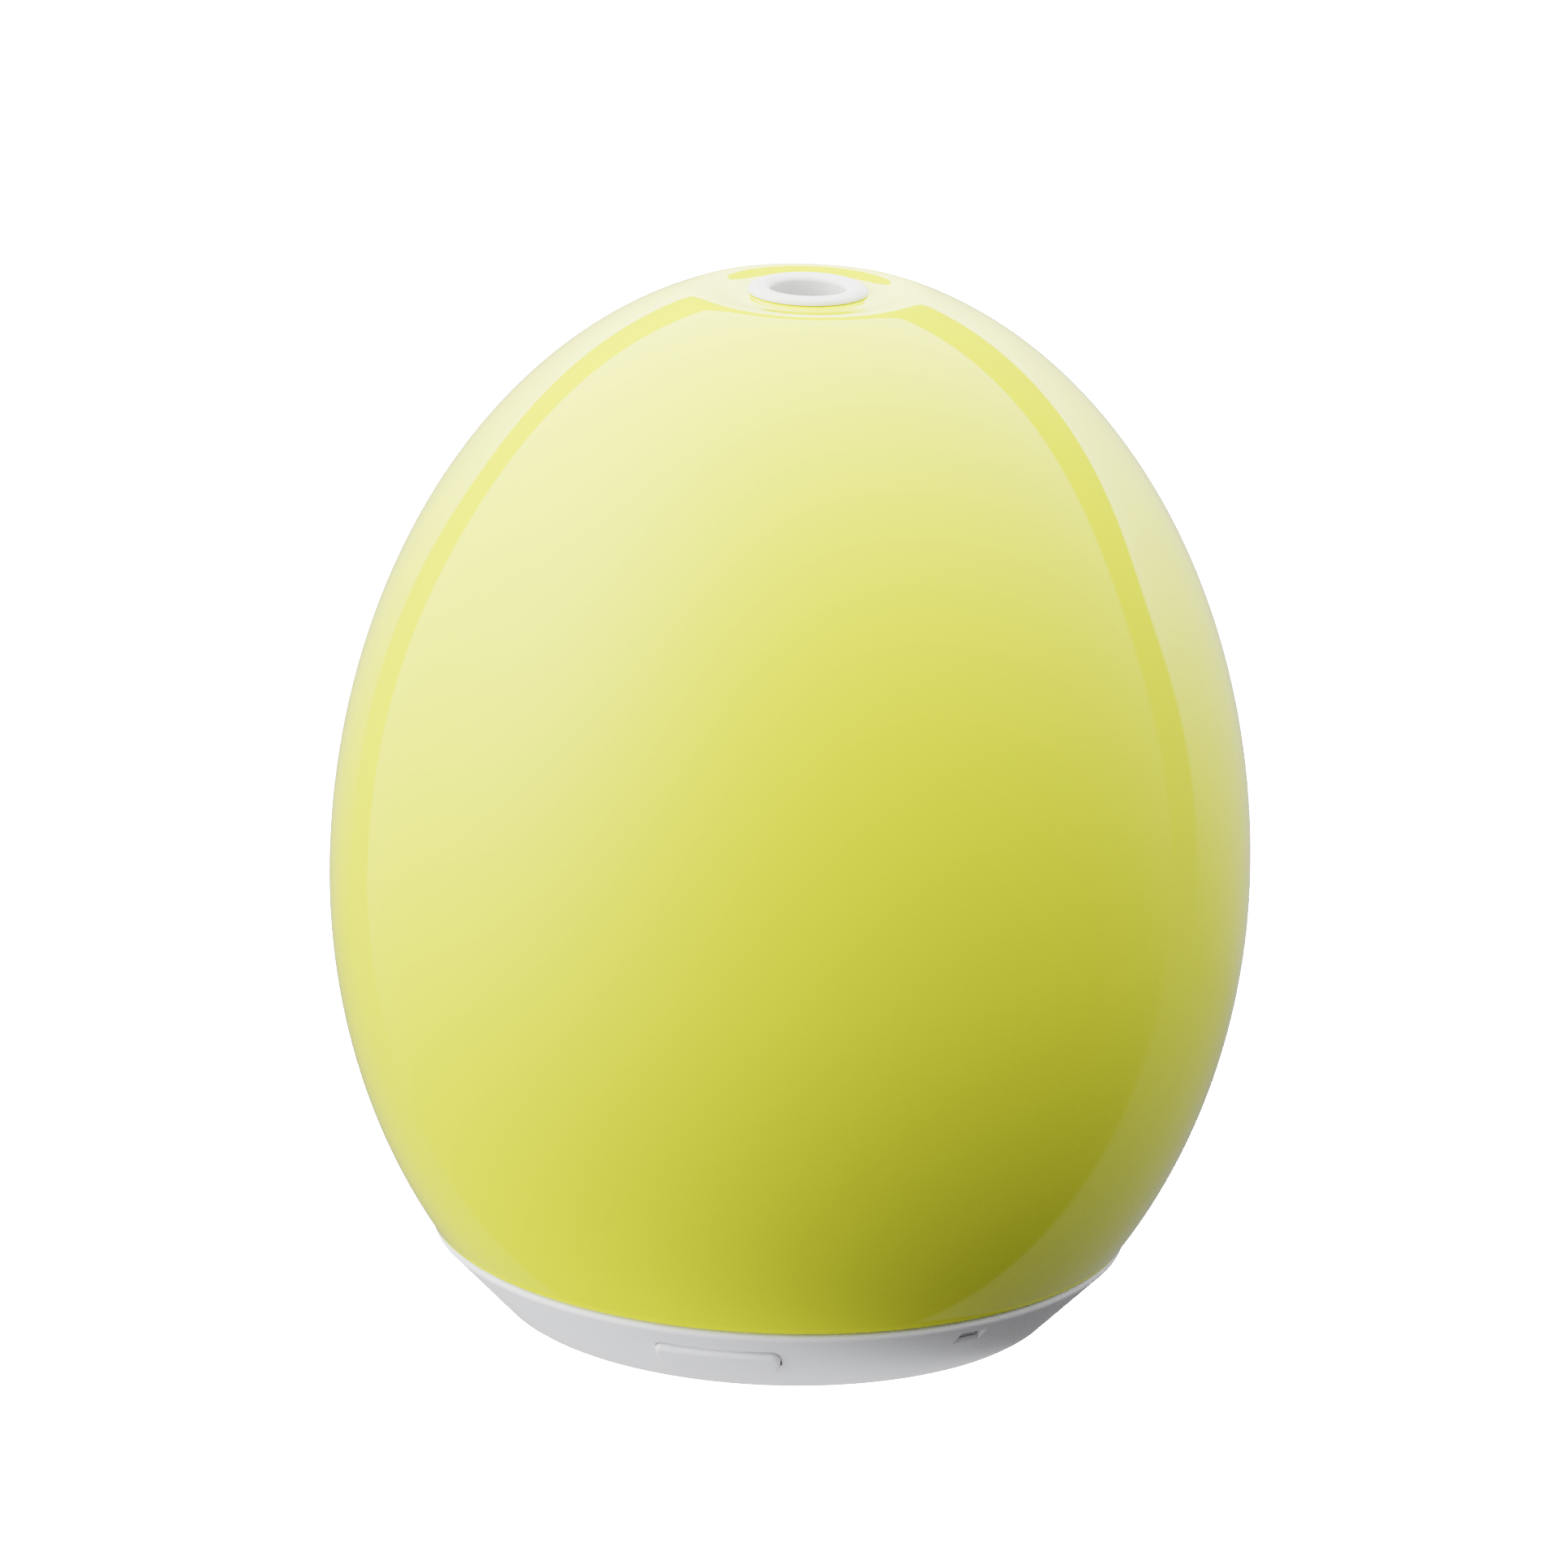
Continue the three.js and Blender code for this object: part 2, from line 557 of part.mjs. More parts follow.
// The float's post above the floor, and the clip under it that holds the reed switch.
function floatPost() {
  const { x, y } = FLOAT;
  const post = cylinder(FLOAT_POST_RADIUS, 43, FLOAT_POST_TOP_Z, x, y, 12);
  const clip = box(x - 2, x + 2, y - 2.2, y + 2.2, 38.9, 42);
  const channel = new THREE.CylinderGeometry(1.5, 1.5, 6, COARSE).rotateZ(Math.PI / 2);
  return post.add(clip.subtract(toSolid(channel.translate(x, y, REED_SWITCH_Z))));
}

// The outside of the air duct, grown by a gap, between two heights.
function ductOutline(grow, z0, z1) {
  const y = DUCT.halfWidth + grow;
  return box(DUCT.x0 - grow, DUCT.x1 + grow, -y, y, z0, z1);
}

// The duct stands in the tank's floor and rises past the water line to a closed top with an outlet on one side.
function airDuct() {
  const { x0, x1, topZ, wall, halfWidth } = DUCT;
  const y = halfWidth - wall;
  const channel = box(x0 + wall, x1 - wall, -y, y, 40, topZ - wall);
  const outlet = box(x1 - wall - 1, x1 + 1, -y, y, topZ - 9, topZ - wall);
  return ductOutline(0, TANK_FLOOR_UNDERSIDE_Z, topZ).subtract(channel).subtract(outlet);
}

addPart("tank_sleeve", tankSleeve(), materials.tankWhite);
addPart("air_duct", airDuct(), materials.tankWhite);
addPart("water_tank", waterTank(), materials.tankWhite);

// ---------------------------------------------------------------- tank lid
// The lid's bell, from its flange to the chimney's collar, as a Bezier curve inset by a wall.
function bellCurve(inset, steps) {
  const collar = LID_COLLAR_RADIUS - inset;
  const curve = new THREE.CubicBezierCurve(
    new THREE.Vector2(LID_RADIUS - inset, 86.4),
    new THREE.Vector2(46 - inset, 106 - inset),
    new THREE.Vector2(collar + 2, 98 - inset),
    new THREE.Vector2(collar, 121 - inset),
  );
  return curve.getPoints(steps).map((p) => [p.x, p.y]);
}

function tankLid() {
  const wall = 1.7;
  return revolve(
    [
      [LID_RADIUS, 84.4],
      ...bellCurve(0, 7),
      [LID_COLLAR_RADIUS, LID_COLLAR_TOP_Z],
      [LID_COLLAR_RADIUS - wall, LID_COLLAR_TOP_Z],
      ...bellCurve(wall, 7).reverse().slice(0, -1),
      [42.6, 85.6],
      [42.6, LID_SKIRT_BOTTOM_Z],
      [LID_SKIRT_RADIUS, LID_SKIRT_BOTTOM_Z],
      [LID_SKIRT_RADIUS, 79.9],
      [43.9, 79.9],
      [43.9, 82.1],
      [LID_SKIRT_RADIUS, 82.1],
      [LID_SKIRT_RADIUS, 84.4],
    ],
    FINE,
  );
}

// The chimney plugs into the lid's collar and hangs in it by its flange.
function lidChimney() {
  return revolve(
    [
      [CHIMNEY_BORE_RADIUS, CHIMNEY_BOTTOM_Z],
      [CHIMNEY_RADIUS, CHIMNEY_BOTTOM_Z],
      [CHIMNEY_RADIUS, LID_COLLAR_TOP_Z + 0.3],
      [LID_COLLAR_RADIUS, LID_COLLAR_TOP_Z + 0.3],
      [LID_COLLAR_RADIUS, LID_COLLAR_TOP_Z + 1.8],
      [CHIMNEY_RADIUS, LID_COLLAR_TOP_Z + 2.6],
      [CHIMNEY_RADIUS, CHIMNEY_TOP_Z - 0.5],
      [CHIMNEY_RADIUS - 0.5, CHIMNEY_TOP_Z],
      [CHIMNEY_BORE_RADIUS, CHIMNEY_TOP_Z],
    ],
    24,
  );
}

function lidSeal() {
  return revolve(arcPoints(45.05, 81, 0.8, 0, 300, 5), FINE);
}

addPart("tank_lid", tankLid(), materials.tankWhite);
addPart("lid_chimney", lidChimney(), materials.tankWhite);
addPart("lid_seal", lidSeal(), materials.silicone);

// ---------------------------------------------------------------- transducer
function transducerSeal() {
  const seal = revolve(
    [
      [8.9, 37.5],
      [12.2, 37.5],
      [12.2, 35],
      [8.9, 35],
      [8.9, 35.6],
      [10.4, 35.6],
      [10.4, 36.9],
      [8.9, 36.9],
    ],
    24,
  );
  return seal.translate([TRANSDUCER.x, TRANSDUCER.y, 0]);
}

function transducerBracket() {
  const { x, y } = TRANSDUCER;
  let plate = cylinder(13, BRACKET_BOTTOM_Z, BRACKET_TOP_Z, x, y, 24);
  for (const angle of TRANSDUCER_EAR_ANGLES) {
    const [ex, ey] = polar(TRANSDUCER_EAR_CIRCLE_RADIUS, angle);
    const arm = box(8, TRANSDUCER_EAR_CIRCLE_RADIUS, -3, 3, BRACKET_BOTTOM_Z, BRACKET_TOP_Z);
    plate = plate.add(cylinder(3.2, BRACKET_BOTTOM_Z, BRACKET_TOP_Z, x + ex, y + ey, 12));
    plate = plate.add(arm.rotate([0, 0, angle]).translate([x, y, 0]));
    plate = plate.subtract(cylinder(1.5, 30, 36, x + ex, y + ey, SMALL));
  }
  return plate.subtract(cylinder(8.2, 30, 36, x, y, 24));
}

addPart("transducer_seal", transducerSeal(), materials.silicone);
addPart("transducer_disc", cylinder(10.1, 35.8, 36.7, TRANSDUCER.x, TRANSDUCER.y, 24), materials.ceramicDisc);
addPart("transducer_bracket", transducerBracket(), materials.aluminium);
TRANSDUCER_EAR_ANGLES.forEach((angle, i) => {
  const [x, y] = polar(TRANSDUCER_EAR_CIRCLE_RADIUS, angle);
  const part = screw(TRANSDUCER.x + x, TRANSDUCER.y + y, BRACKET_BOTTOM_Z - 1.2, 2.4, 1, 0.9, 6);
  addPart(`transducer_screw_${i + 1}`, part, materials.steel);
});

// ---------------------------------------------------------------- float
function waterFloat() {
  const { radius, bottom, height } = FLOAT;
  const top = bottom + height;
  const ring = revolve(
    [
      [2.5, bottom],
      [radius - 0.8, bottom],
      [radius, bottom + 0.8],
      [radius, top - 0.8],
      [radius - 0.8, top],
      [2.5, top],
    ],
    20,
  );
  return ring.translate([FLOAT.x, FLOAT.y, 0]);
}

function floatRetainer() {
  const clip = cylinder(4.2, 67.6, 69, FLOAT.x, FLOAT.y, 12);
  return clip.subtract(cylinder(FLOAT_POST_RADIUS + 0.2, 67, 70, FLOAT.x, FLOAT.y, 12));
}

function reedSwitch() {
  const glass = new THREE.CapsuleGeometry(1.2, 9, 3, SMALL).rotateZ(Math.PI / 2);
  return toSolid(glass.translate(FLOAT.x, FLOAT.y, REED_SWITCH_Z));
}

addPart("water_float", waterFloat(), materials.floatBlue);
addPart("float_retainer", floatRetainer(), materials.outletWhite);
addPart("reed_switch", reedSwitch(), materials.lens);

// ---------------------------------------------------------------- fan, filter and air hood
function fanFrame() {
  const half = FAN.size / 2;
  let frame = slab(roundedRectangle(FAN.size, FAN.size, 3, 2), FAN.bottom, FAN.top)
    .translate([FAN.x, FAN.y, 0])
    .subtract(cylinder(FAN.bore, 0, 30, FAN.x, FAN.y, 28));
  const hub = cylinder(8.5, FAN.bottom, FAN.bottom + 1.6, FAN.x, FAN.y, COARSE);
  frame = frame.add(hub).subtract(cylinder(1.8, FAN.bottom + 0.3, FAN.top, FAN.x, FAN.y, COARSE));
  for (const angle of [45, 135, 225, 315]) {
    const strut = box(7, half - 0.5, -1, 1, FAN.bottom, FAN.bottom + 1.2).rotate([0, 0, angle + 20]);
    frame = frame.add(strut.translate([FAN.x, FAN.y, 0]));
  }
  for (const [x, y] of fanCorners()) frame = frame.subtract(cylinder(1.7, 0, 30, x, y, SMALL));
  return frame;
}

function fanRotor() {
  const [z0, z1] = [FAN.bottom + 2.2, FAN.top - 0.8];
  let rotor = cylinder(8.3, z0, z1, 0, 0, 20);
  const shaft = cylinder(1.5, FAN.bottom + 0.6, z0 + 1, FAN.x, FAN.y, 12);
  for (let i = 0; i < FAN_BLADES; i++) {
    const pitch = THREE.MathUtils.degToRad(38);
    const blade = new THREE.BoxGeometry(10.2, 8.2, 0.9).rotateX(pitch);
    const placed = toSolid(blade.translate(12.7, 0, (z0 + z1) / 2));
    rotor = rotor.add(placed.rotate([0, 0, (360 * i) / FAN_BLADES]));
  }
  const sweep = cylinder(FAN.bore - 0.8, z0, z1, 0, 0, 28);
  return rotor.intersect(sweep).translate([FAN.x, FAN.y, 0]).add(shaft);
}

// A four-sided funnel on a square collar, from the fan's outlet to the foot of the tank's air duct.
function funnel(inset, overlap) {
  const half = FAN.size / 2 - inset;
  const z0 = FAN.top + HOOD_COLLAR;
  const z1 = TANK_FLOOR_UNDERSIDE_Z - 0.3 + overlap;
  const low = rectangle(FAN.x - half, FAN.x + half, -half, half);
  const high = rectangle(DUCT.x0 + inset, DUCT.x1 - inset, -DUCT.halfWidth + inset, DUCT.halfWidth - inset);
  const vertices = [...low.map(([x, y]) => [x, y, z0]), ...high.map(([x, y]) => [x, y, z1])];
  const faces = [0, 2, 1, 0, 3, 2, 4, 5, 6, 4, 6, 7];
  for (let i = 0; i < 4; i++) {
    const j = (i + 1) % 4;
    faces.push(i, j, j + 4, i, j + 4, i + 4);
  }
  const geometry = new THREE.BufferGeometry();
  geometry.setAttribute("position", new THREE.Float32BufferAttribute(vertices.flat(), 3)).setIndex(faces);
  const collar = box(FAN.x - half, FAN.x + half, -half, half, FAN.top + 0.3 - overlap, z0);
  return toSolid(geometry).add(collar);
}

function intakeFilter() {
  return cylinder(17, PLATE_TOP_Z + 0.2, FAN.bottom - 0.5, FAN.x, FAN.y, 24);
}

addPart("fan_frame", fanFrame(), materials.blackPlastic);
addPart("fan_rotor", fanRotor(), materials.blackPlastic);
addPart("air_hood", funnel(0, 0).subtract(funnel(1.6, 0.01)), materials.housingWhite);
addPart("intake_filter", intakeFilter(), materials.filterFoam);
fanCorners().forEach(([x, y], i) => {
  if (i % 2) return;
  addPart(`fan_screw_${i / 2 + 1}`, screw(x, y, FAN.top + 1.2, 2.2, 1, 0.8, -13), materials.steel);
});

// ---------------------------------------------------------------- power button and its switch
// The frustum of the base's outside, grown outwards by a distance, as a solid to shape the button's face.
function baseFrustum(grow) {
  const wide = grow * slopeLength;
  return revolve(
    [
      [0, -3],
      [baseRadius(-3) + wide, -3],
      [baseRadius(20) + wide, 20],
      [0, 20],
    ],
    96,
  );
}

function powerButton() {
  const edge = 0.5;
  const cap = roundedRectangle(BUTTON_WIDTH, BUTTON_HEIGHT, 1.5);
  const face = roundedRectangle(BUTTON_WIDTH - 2 * edge, BUTTON_HEIGHT - 2 * edge, 1.1);
  const sides = buttonSlab(cap, -2.7, 4).intersect(baseFrustum(BUTTON_RISE - edge));
  const front = buttonSlab(face, -2.7, 4).intersect(baseFrustum(BUTTON_RISE));
  const flange = buttonSlab(rectangle(-11.4, 11.4, -4, 2), -3.6, -2.5);
  const stem = buttonSlab(rectangle(-2, 2, -1.6, 1.6), -6.2, -3);
  return sides.add(front).add(flange).add(stem);
}

function circleOutline(radius, segments = 12) {
  return Array.from({ length: segments }, (_, i) => polar(radius, (360 * i) / segments));
}

function tactSwitch() {
  const body = buttonSlab(rectangle(-3, 3, -3, 3), -11, -7.6);
  return body.subtract(buttonSlab(circleOutline(1.9), -9.5, -7));
}

addPart("power_button", powerButton(), materials.housingWhite);
addPart("tact_switch", tactSwitch(), materials.blackPlastic);
addPart("switch_plunger", buttonSlab(circleOutline(1.6), -8.7, -6.55), materials.leadRed);
addPart("switch_board", buttonSlab(rectangle(-9.4, 9.4, -4.5, 4.5), -12.5, -11.3), materials.boardGreen);

// ---------------------------------------------------------------- status light
function statusWindow() {
  const half = WINDOW_WIDTH / 2 - 0.4;
  const lens = box(-half, half, -WINDOW_FLOOR_RADIUS + 0.1, -50.9, WINDOW_Z0 + 0.35, WINDOW_Z1 - 0.35);
  return swing(lens, WINDOW_ANGLE);
}

function statusLight() {
  const board = box(-4.5, 4.5, -46.6, -45.6, 7.6, 12.6);
  const lamp = box(-1.5, 1.5, -49.6, -46.5, 10, 12);
  return swing(board.add(lamp), WINDOW_ANGLE);
}

addPart("status_window", statusWindow(), materials.lens);
addPart("status_light", statusLight(), materials.boardGreen);

// ---------------------------------------------------------------- power socket
function powerSocket() {
  const body = box(-4.5, 4.5, 35.5, 44.6, 4.2, 11.4);
  const nose = horizontalRod(JACK_HOLE_RADIUS - 0.4, 0, JACK_Z, 44.4, JACK_FACE_Y);
  return body.add(nose).subtract(horizontalRod(JACK_BORE_RADIUS, 0, JACK_Z, 38.2, 50, 20));
}

addPart("power_socket", powerSocket(), materials.blackPlastic);
addPart("socket_pin", horizontalRod(1, 0, JACK_Z, 38.8, JACK_FACE_Y - 1.4, SMALL), materials.steel);

// ---------------------------------------------------------------- main board
const boardOutline = [[2, -29], [27, -29], [39, -17], [39, 17], [27, 29], [2, 29]];
let board = slab(boardOutline, BOARD_Z0, BOARD_Z1);
for (const [x, y] of BOARD_SCREWS) board = board.subtract(cylinder(1.6, 8, 12, x, y, SMALL));
addPart("main_board", board, materials.boardGreen);
BOARD_SCREWS.forEach(([x, y], i) => {
  const part = screw(x, y, BOARD_Z1 + 1.3, 2.4, 1, 0.8, -6.5);
  addPart(`board_screw_${i + 1}`, part, materials.steel);
});

function heatSink() {
  const outline = [[0, 0], [16, 0]];
  for (let i = 4; i >= 0; i--) {
    const x = i * 3.6;
    outline.push([x + 1.6, 12], [x, 12]);
    if (i > 0) outline.push([x, 2.2], [x - 2, 2.2]);
  }
  const shape = new THREE.Shape(outline.map(([x, y]) => new THREE.Vector2(x, y)));
  const geometry = new THREE.ExtrudeGeometry(shape, { depth: 12, bevelEnabled: false });
  return toSolid(geometry.rotateX(Math.PI / 2).translate(16, 20, PARTS_Z));
}

addPart("heat_sink", heatSink(), materials.aluminium);
addPart("drive_transistor", box(20, 29, 3, 7.4, PARTS_Z, PARTS_Z + 12), materials.blackPlastic);
addPart("coil", cylinder(5, PARTS_Z, PARTS_Z + 9, 12, -8, 20), materials.blackPlastic);
addPart("capacitor", cylinder(4, PARTS_Z, PARTS_Z + 11, 24, -10, 20), materials.leadBlack);
addPart("controller_chip", box(6, 14, 4, 9, PARTS_Z, PARTS_Z + 1.8), materials.blackPlastic);

const CONNECTORS = {
  transducer_connector: [33, -9],
  fan_connector: [9, 15],
  switch_connector: [16, -24],
  socket_connector: [20, 25],
};
for (const [name, [x, y]] of Object.entries(CONNECTORS)) {
  addPart(name, box(x - 3.5, x + 3.5, y - 2.6, y + 2.6, PARTS_Z, PARTS_Z + 6), materials.connectorWhite);
}

// ---------------------------------------------------------------- leads held inside the case
const connectorTop = PARTS_Z + 6.3;
const LEADS = {
  transducer_lead: [
    [14, -3, 35.2], [15, -4, 31], [21, -7, 27], [30, -9.5, 25], [33, -9, 21], [33, -9, connectorTop],
  ],
  fan_lead: [
    [-1.6, 12, 14], [1, 12.2, 15], [3, 13, 19], [6, 14.5, 21.8], [8.8, 15, 20.6], [9, 15, connectorTop],
  ],
  switch_lead: [
    [2, -40.6, 17.7], [3, -37.5, 20.5], [8, -31, 23], [14.5, -25, 22.4], [16, -24, 20.6],
    [16, -24, connectorTop],
  ],
  socket_lead: [
    [0, 34.7, 8.2], [1, 33, 9.4], [6, 31.5, 13], [13, 29, 19.5], [18.6, 25.8, 21.2], [20, 25, 20],
    [20, 25, connectorTop],
  ],
  status_light_lead: [
    [31.9, -31.9, 11.4], [29, -30.2, 12.6], [26, -28, 14.6], [22.6, -25.2, 14.4], [19.9, -24.6, 14],
  ],
};
const leadColours = {
  transducer_lead: materials.leadRed,
  fan_lead: materials.leadBlack,
  switch_lead: materials.leadWhite,
  socket_lead: materials.leadBlack,
  status_light_lead: materials.leadWhite,
};
for (const [name, route] of Object.entries(LEADS)) {
  addPart(name, tube(route, LEAD_RADIUS), leadColours[name]);
}

export default group;
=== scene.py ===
"""An egg-shaped cool mist humidifier: a glossy lime cover with a white outlet ring, on a white base.

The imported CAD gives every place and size. The smooth shells that show are built here as finely turned
shapes with rounded edges, and the parts inside keep their CAD solids with softened edges.
"""

import json
import math

import bmesh
import bpy
from mathutils import Matrix, Quaternion, Vector


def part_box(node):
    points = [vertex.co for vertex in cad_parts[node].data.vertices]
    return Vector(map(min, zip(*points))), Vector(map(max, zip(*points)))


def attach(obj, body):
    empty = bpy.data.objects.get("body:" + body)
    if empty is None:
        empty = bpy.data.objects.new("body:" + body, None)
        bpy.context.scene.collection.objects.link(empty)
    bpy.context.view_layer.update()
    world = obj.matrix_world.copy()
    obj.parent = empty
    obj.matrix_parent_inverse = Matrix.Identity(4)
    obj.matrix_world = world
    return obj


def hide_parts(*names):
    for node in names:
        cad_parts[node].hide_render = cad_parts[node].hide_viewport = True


MM = 0.001
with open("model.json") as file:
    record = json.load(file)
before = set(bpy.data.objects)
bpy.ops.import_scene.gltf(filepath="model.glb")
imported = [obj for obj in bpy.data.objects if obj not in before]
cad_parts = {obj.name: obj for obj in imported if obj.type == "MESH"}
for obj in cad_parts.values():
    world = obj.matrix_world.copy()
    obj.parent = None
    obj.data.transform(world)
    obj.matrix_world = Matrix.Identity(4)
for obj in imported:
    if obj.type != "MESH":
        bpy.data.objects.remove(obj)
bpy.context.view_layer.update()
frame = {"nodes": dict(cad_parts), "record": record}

# ------------------------------------------------------------------ driving dimensions, in millimetres
COVER_LOW, COVER_HIGH = (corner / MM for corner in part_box("outer_cover"))
EGG_RADIUS = COVER_HIGH.x
EGG_EQUATOR_Z = 74.4
EGG_UPPER_HEIGHT = 100
EGG_LOWER_HEIGHT = 92.5
COVER_WALL = 2.6
COVER_EDGE_ROUND = 0.45
COVER_EDGE_Z = COVER_LOW.z
COVER_RIM_RADIUS = 54
COVER_RIM_TOP_Z = 17.4
OUTLET_HOLE_RADIUS = 8.2

RING_LOW, RING_HIGH = (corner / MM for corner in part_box("mist_outlet_ring"))
RING_RADIUS = RING_HIGH.x
RING_BORE_RADIUS = 6.1
RING_NECK_RADIUS = 7.8
DISH_DEPTH = 2.5
DISH_RADIUS = 19.5
DISH_FLOOR_RADIUS = 10.4
RING_CREST_Z = RING_HIGH.z - DISH_DEPTH

BASE_LOW, BASE_HIGH = (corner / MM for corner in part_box("base_ring"))
BASE_EDGE_Z = 1.9
BASE_BOTTOM_RADIUS = 46
BASE_CONE_TOP_Z = 13.7
BASE_CONE_TOP_RADIUS = 56.6
BASE_SLOPE = (BASE_CONE_TOP_RADIUS - BASE_BOTTOM_RADIUS) / (BASE_CONE_TOP_Z - BASE_EDGE_Z)
BASE_WALL = 2.8
LIP_RADIUS = 0.9
LIP_CIRCLE_RADIUS = 56.1
SHOULDER_Z = 14.6
SHOULDER_UNDERSIDE_Z = 12.2
UPSTAND_RADIUS = 53.3
BASE_HOLE_RADIUS = 50.6
CHANNEL_INNER_RADIUS = 54.35
CHANNEL_OUTER_RADIUS = 56.05
CHANNEL_Z = 13.6
PLATE_RADIUS = 43.4
PLATE_GAP = 0.3
PLATE_SEAT_Z = 4.2
CASE_SCREW_CIRCLE_RADIUS = 41
CASE_SCREW_ANGLES = (60, 120, 240, 300)

BUTTON_WIDTH = 20
BUTTON_HEIGHT = 5.5
BUTTON_RISE = 1.35
BUTTON_CENTRE_Z = 8.3
BUTTON_GAP = 0.2
BUTTON_CORNER_RADIUS = 1.5
BUTTON_OPENING_CORNER_RADIUS = 1.8
BUTTON_SKIRT_DEPTH = 2.6
BUTTON_EDGE_ROUND = 0.8

WINDOW_ANGLE = 45
WINDOW_WIDTH = 5
WINDOW_Z0 = 10.1
WINDOW_Z1 = 12
WINDOW_FLOOR_RADIUS = 53.2

JACK_Z = 7.4
JACK_HOLE_RADIUS = 4.4

LID_WALL = 1.7
LID_COLLAR_RADIUS = 12.6
LID_SHOULDER_Z = 84.4
LID_BELL_FOOT_Z = 86.4
LID_BELL_HEAD_Z = 121
LID_SKIRT_RADIUS = 44.9
LID_SKIRT_INNER_RADIUS = 42.6
SEAL_GROOVE_RADIUS = 43.9
SEAL_GROOVE_LOW_Z = 79.9
SEAL_GROOVE_HIGH_Z = 82.1

CHIMNEY_BORE_RADIUS = 8.9
CHIMNEY_RADIUS = 10.6
CHIMNEY_STOP_RADIUS = 12.6
CHIMNEY_STOP_LOW_Z = 126.3
CHIMNEY_STOP_HIGH_Z = 127.8

SLEEVE_RADIUS = 50.2
SLEEVE_INNER_RADIUS = 48.2
SLEEVE_BOTTOM_Z = 13
SLEEVE_TOP_Z = 81.8
NOTCH_HALF_WIDTH = 12.6
TOWER_RADIUS = 3.5
TOWER_BORE_RADIUS = 1.3
TOWER_BOTTOM_Z = 7.3
TOWER_BORE_TOP_Z = 20
TOWER_TOP_Z = 22
TOWER_RIB_HALF_WIDTH = 1.2

FLOOR_RADIUS = 1500
PALE = 30
FINE = 256
MEDIUM = 128


# ------------------------------------------------------------------ mesh helpers
def arc(centre_r, centre_z, radius_r, radius_z, start, end, steps):
    """Points on an ellipse in the (radius, height) plane, between two angles in degrees."""
    points = []
    for i in range(steps + 1):
        a = math.radians(start + (end - start) * i / steps)
        points.append((centre_r + radius_r * math.cos(a), centre_z + radius_z * math.sin(a)))
    return points


def rounded(corners, steps=4):
    """A closed outline from (radius, height, rounding) corners, each rounded by an arc."""
    outline = []
    for i, corner in enumerate(corners):
        here = Vector(corner[:2])
        rounding = corner[2] if len(corner) > 2 else 0
        if not rounding:
            outline.append(tuple(here))
            continue
        before = (Vector(corners[i - 1][:2]) - here).normalized()
        after = (Vector(corners[(i + 1) % len(corners)][:2]) - here).normalized()
        half = before.angle(after) / 2
        bisector = (before + after).normalized()
        centre = here + bisector * (rounding / math.sin(half))
        start = here + before * (rounding / math.tan(half)) - centre
        end = here + after * (rounding / math.tan(half)) - centre
        turn = start.angle_signed(end)
        for step in range(steps + 1):
            outline.append(tuple(centre + Matrix.Rotation(-turn * step / steps, 2) @ start))
    return outline


def lathe(outline, segments=FINE, centre=(0, 0)):
    """A bmesh turned about a vertical axis from a closed (radius, height) outline in millimetres."""
    shape = bmesh.new()
    rings = []
    for r, z in outline:
        if r < 1e-6:
            rings.append([shape.verts.new((centre[0], centre[1], z))])
            continue
        ring = []
        for i in range(segments):
            a = 2 * math.pi * i / segments
            ring.append(shape.verts.new((centre[0] + r * math.cos(a), centre[1] + r * math.sin(a), z)))
        rings.append(ring)
    for lower, upper in zip(rings, rings[1:] + rings[:1]):
        for i in range(segments):
            j = (i + 1) % segments
            low_pair = [lower[i % len(lower)], lower[j % len(lower)]]
            high_pair = [upper[j % len(upper)], upper[i % len(upper)]]
            unique = list(dict.fromkeys(low_pair + high_pair))
            if len(unique) > 2:
                shape.faces.new(unique)
    bmesh.ops.recalc_face_normals(shape, faces=shape.faces)
    return shape


def block(low, high, matrix=None):
    """A bmesh box between two corners in millimetres."""
    shape = bmesh.new()
    centre = (Vector(low) + Vector(high)) / 2
    size = Vector(high) - Vector(low)
    place = (matrix or Matrix()) @ Matrix.Translation(centre) @ Matrix.Diagonal((*size, 1))
    bmesh.ops.create_cube(shape, size=1, matrix=place)
    return shape


def join(*shapes):
    """One bmesh that holds the others."""
    whole = bmesh.new()
    for shape in shapes:
        mesh = bpy.data.meshes.new("part")
        shape.to_mesh(mesh)
        shape.free()
        whole.from_mesh(mesh)
        bpy.data.meshes.remove(mesh)
    return whole


def to_object(name, shape):
    """A Blender object, in metres, from a bmesh in millimetres."""
    bmesh.ops.scale(shape, vec=(MM, MM, MM), verts=shape.verts)
    mesh = bpy.data.meshes.new(name)
    shape.to_mesh(mesh)
    shape.free()
    obj = bpy.data.objects.new(name, mesh)
    bpy.context.scene.collection.objects.link(obj)
    return obj


def smooth(obj, degrees=32):
    """Smooth shading, except across edges sharper than an angle."""
    shape = bmesh.new()
    shape.from_mesh(obj.data)
    for face in shape.faces:
        face.smooth = True
    for edge in shape.edges:
        edge.smooth = len(edge.link_faces) == 2 and edge.calc_face_angle(0) < math.radians(degrees)
    shape.to_mesh(obj.data)
    shape.free()


def cut(obj, shape):
    """Cuts a bmesh out of an object."""
    cutter = to_object("cutter", shape)
    modifier = obj.modifiers.new("cut", "BOOLEAN")
    modifier.operation = "DIFFERENCE"
    modifier.solver = "EXACT"
    modifier.object = cutter
    bpy.context.view_layer.update()
    evaluated = obj.evaluated_get(bpy.context.evaluated_depsgraph_get())
    mesh = bpy.data.meshes.new_from_object(evaluated)
    obj.modifiers.clear()
    obj.data = mesh
    bpy.data.objects.remove(cutter)


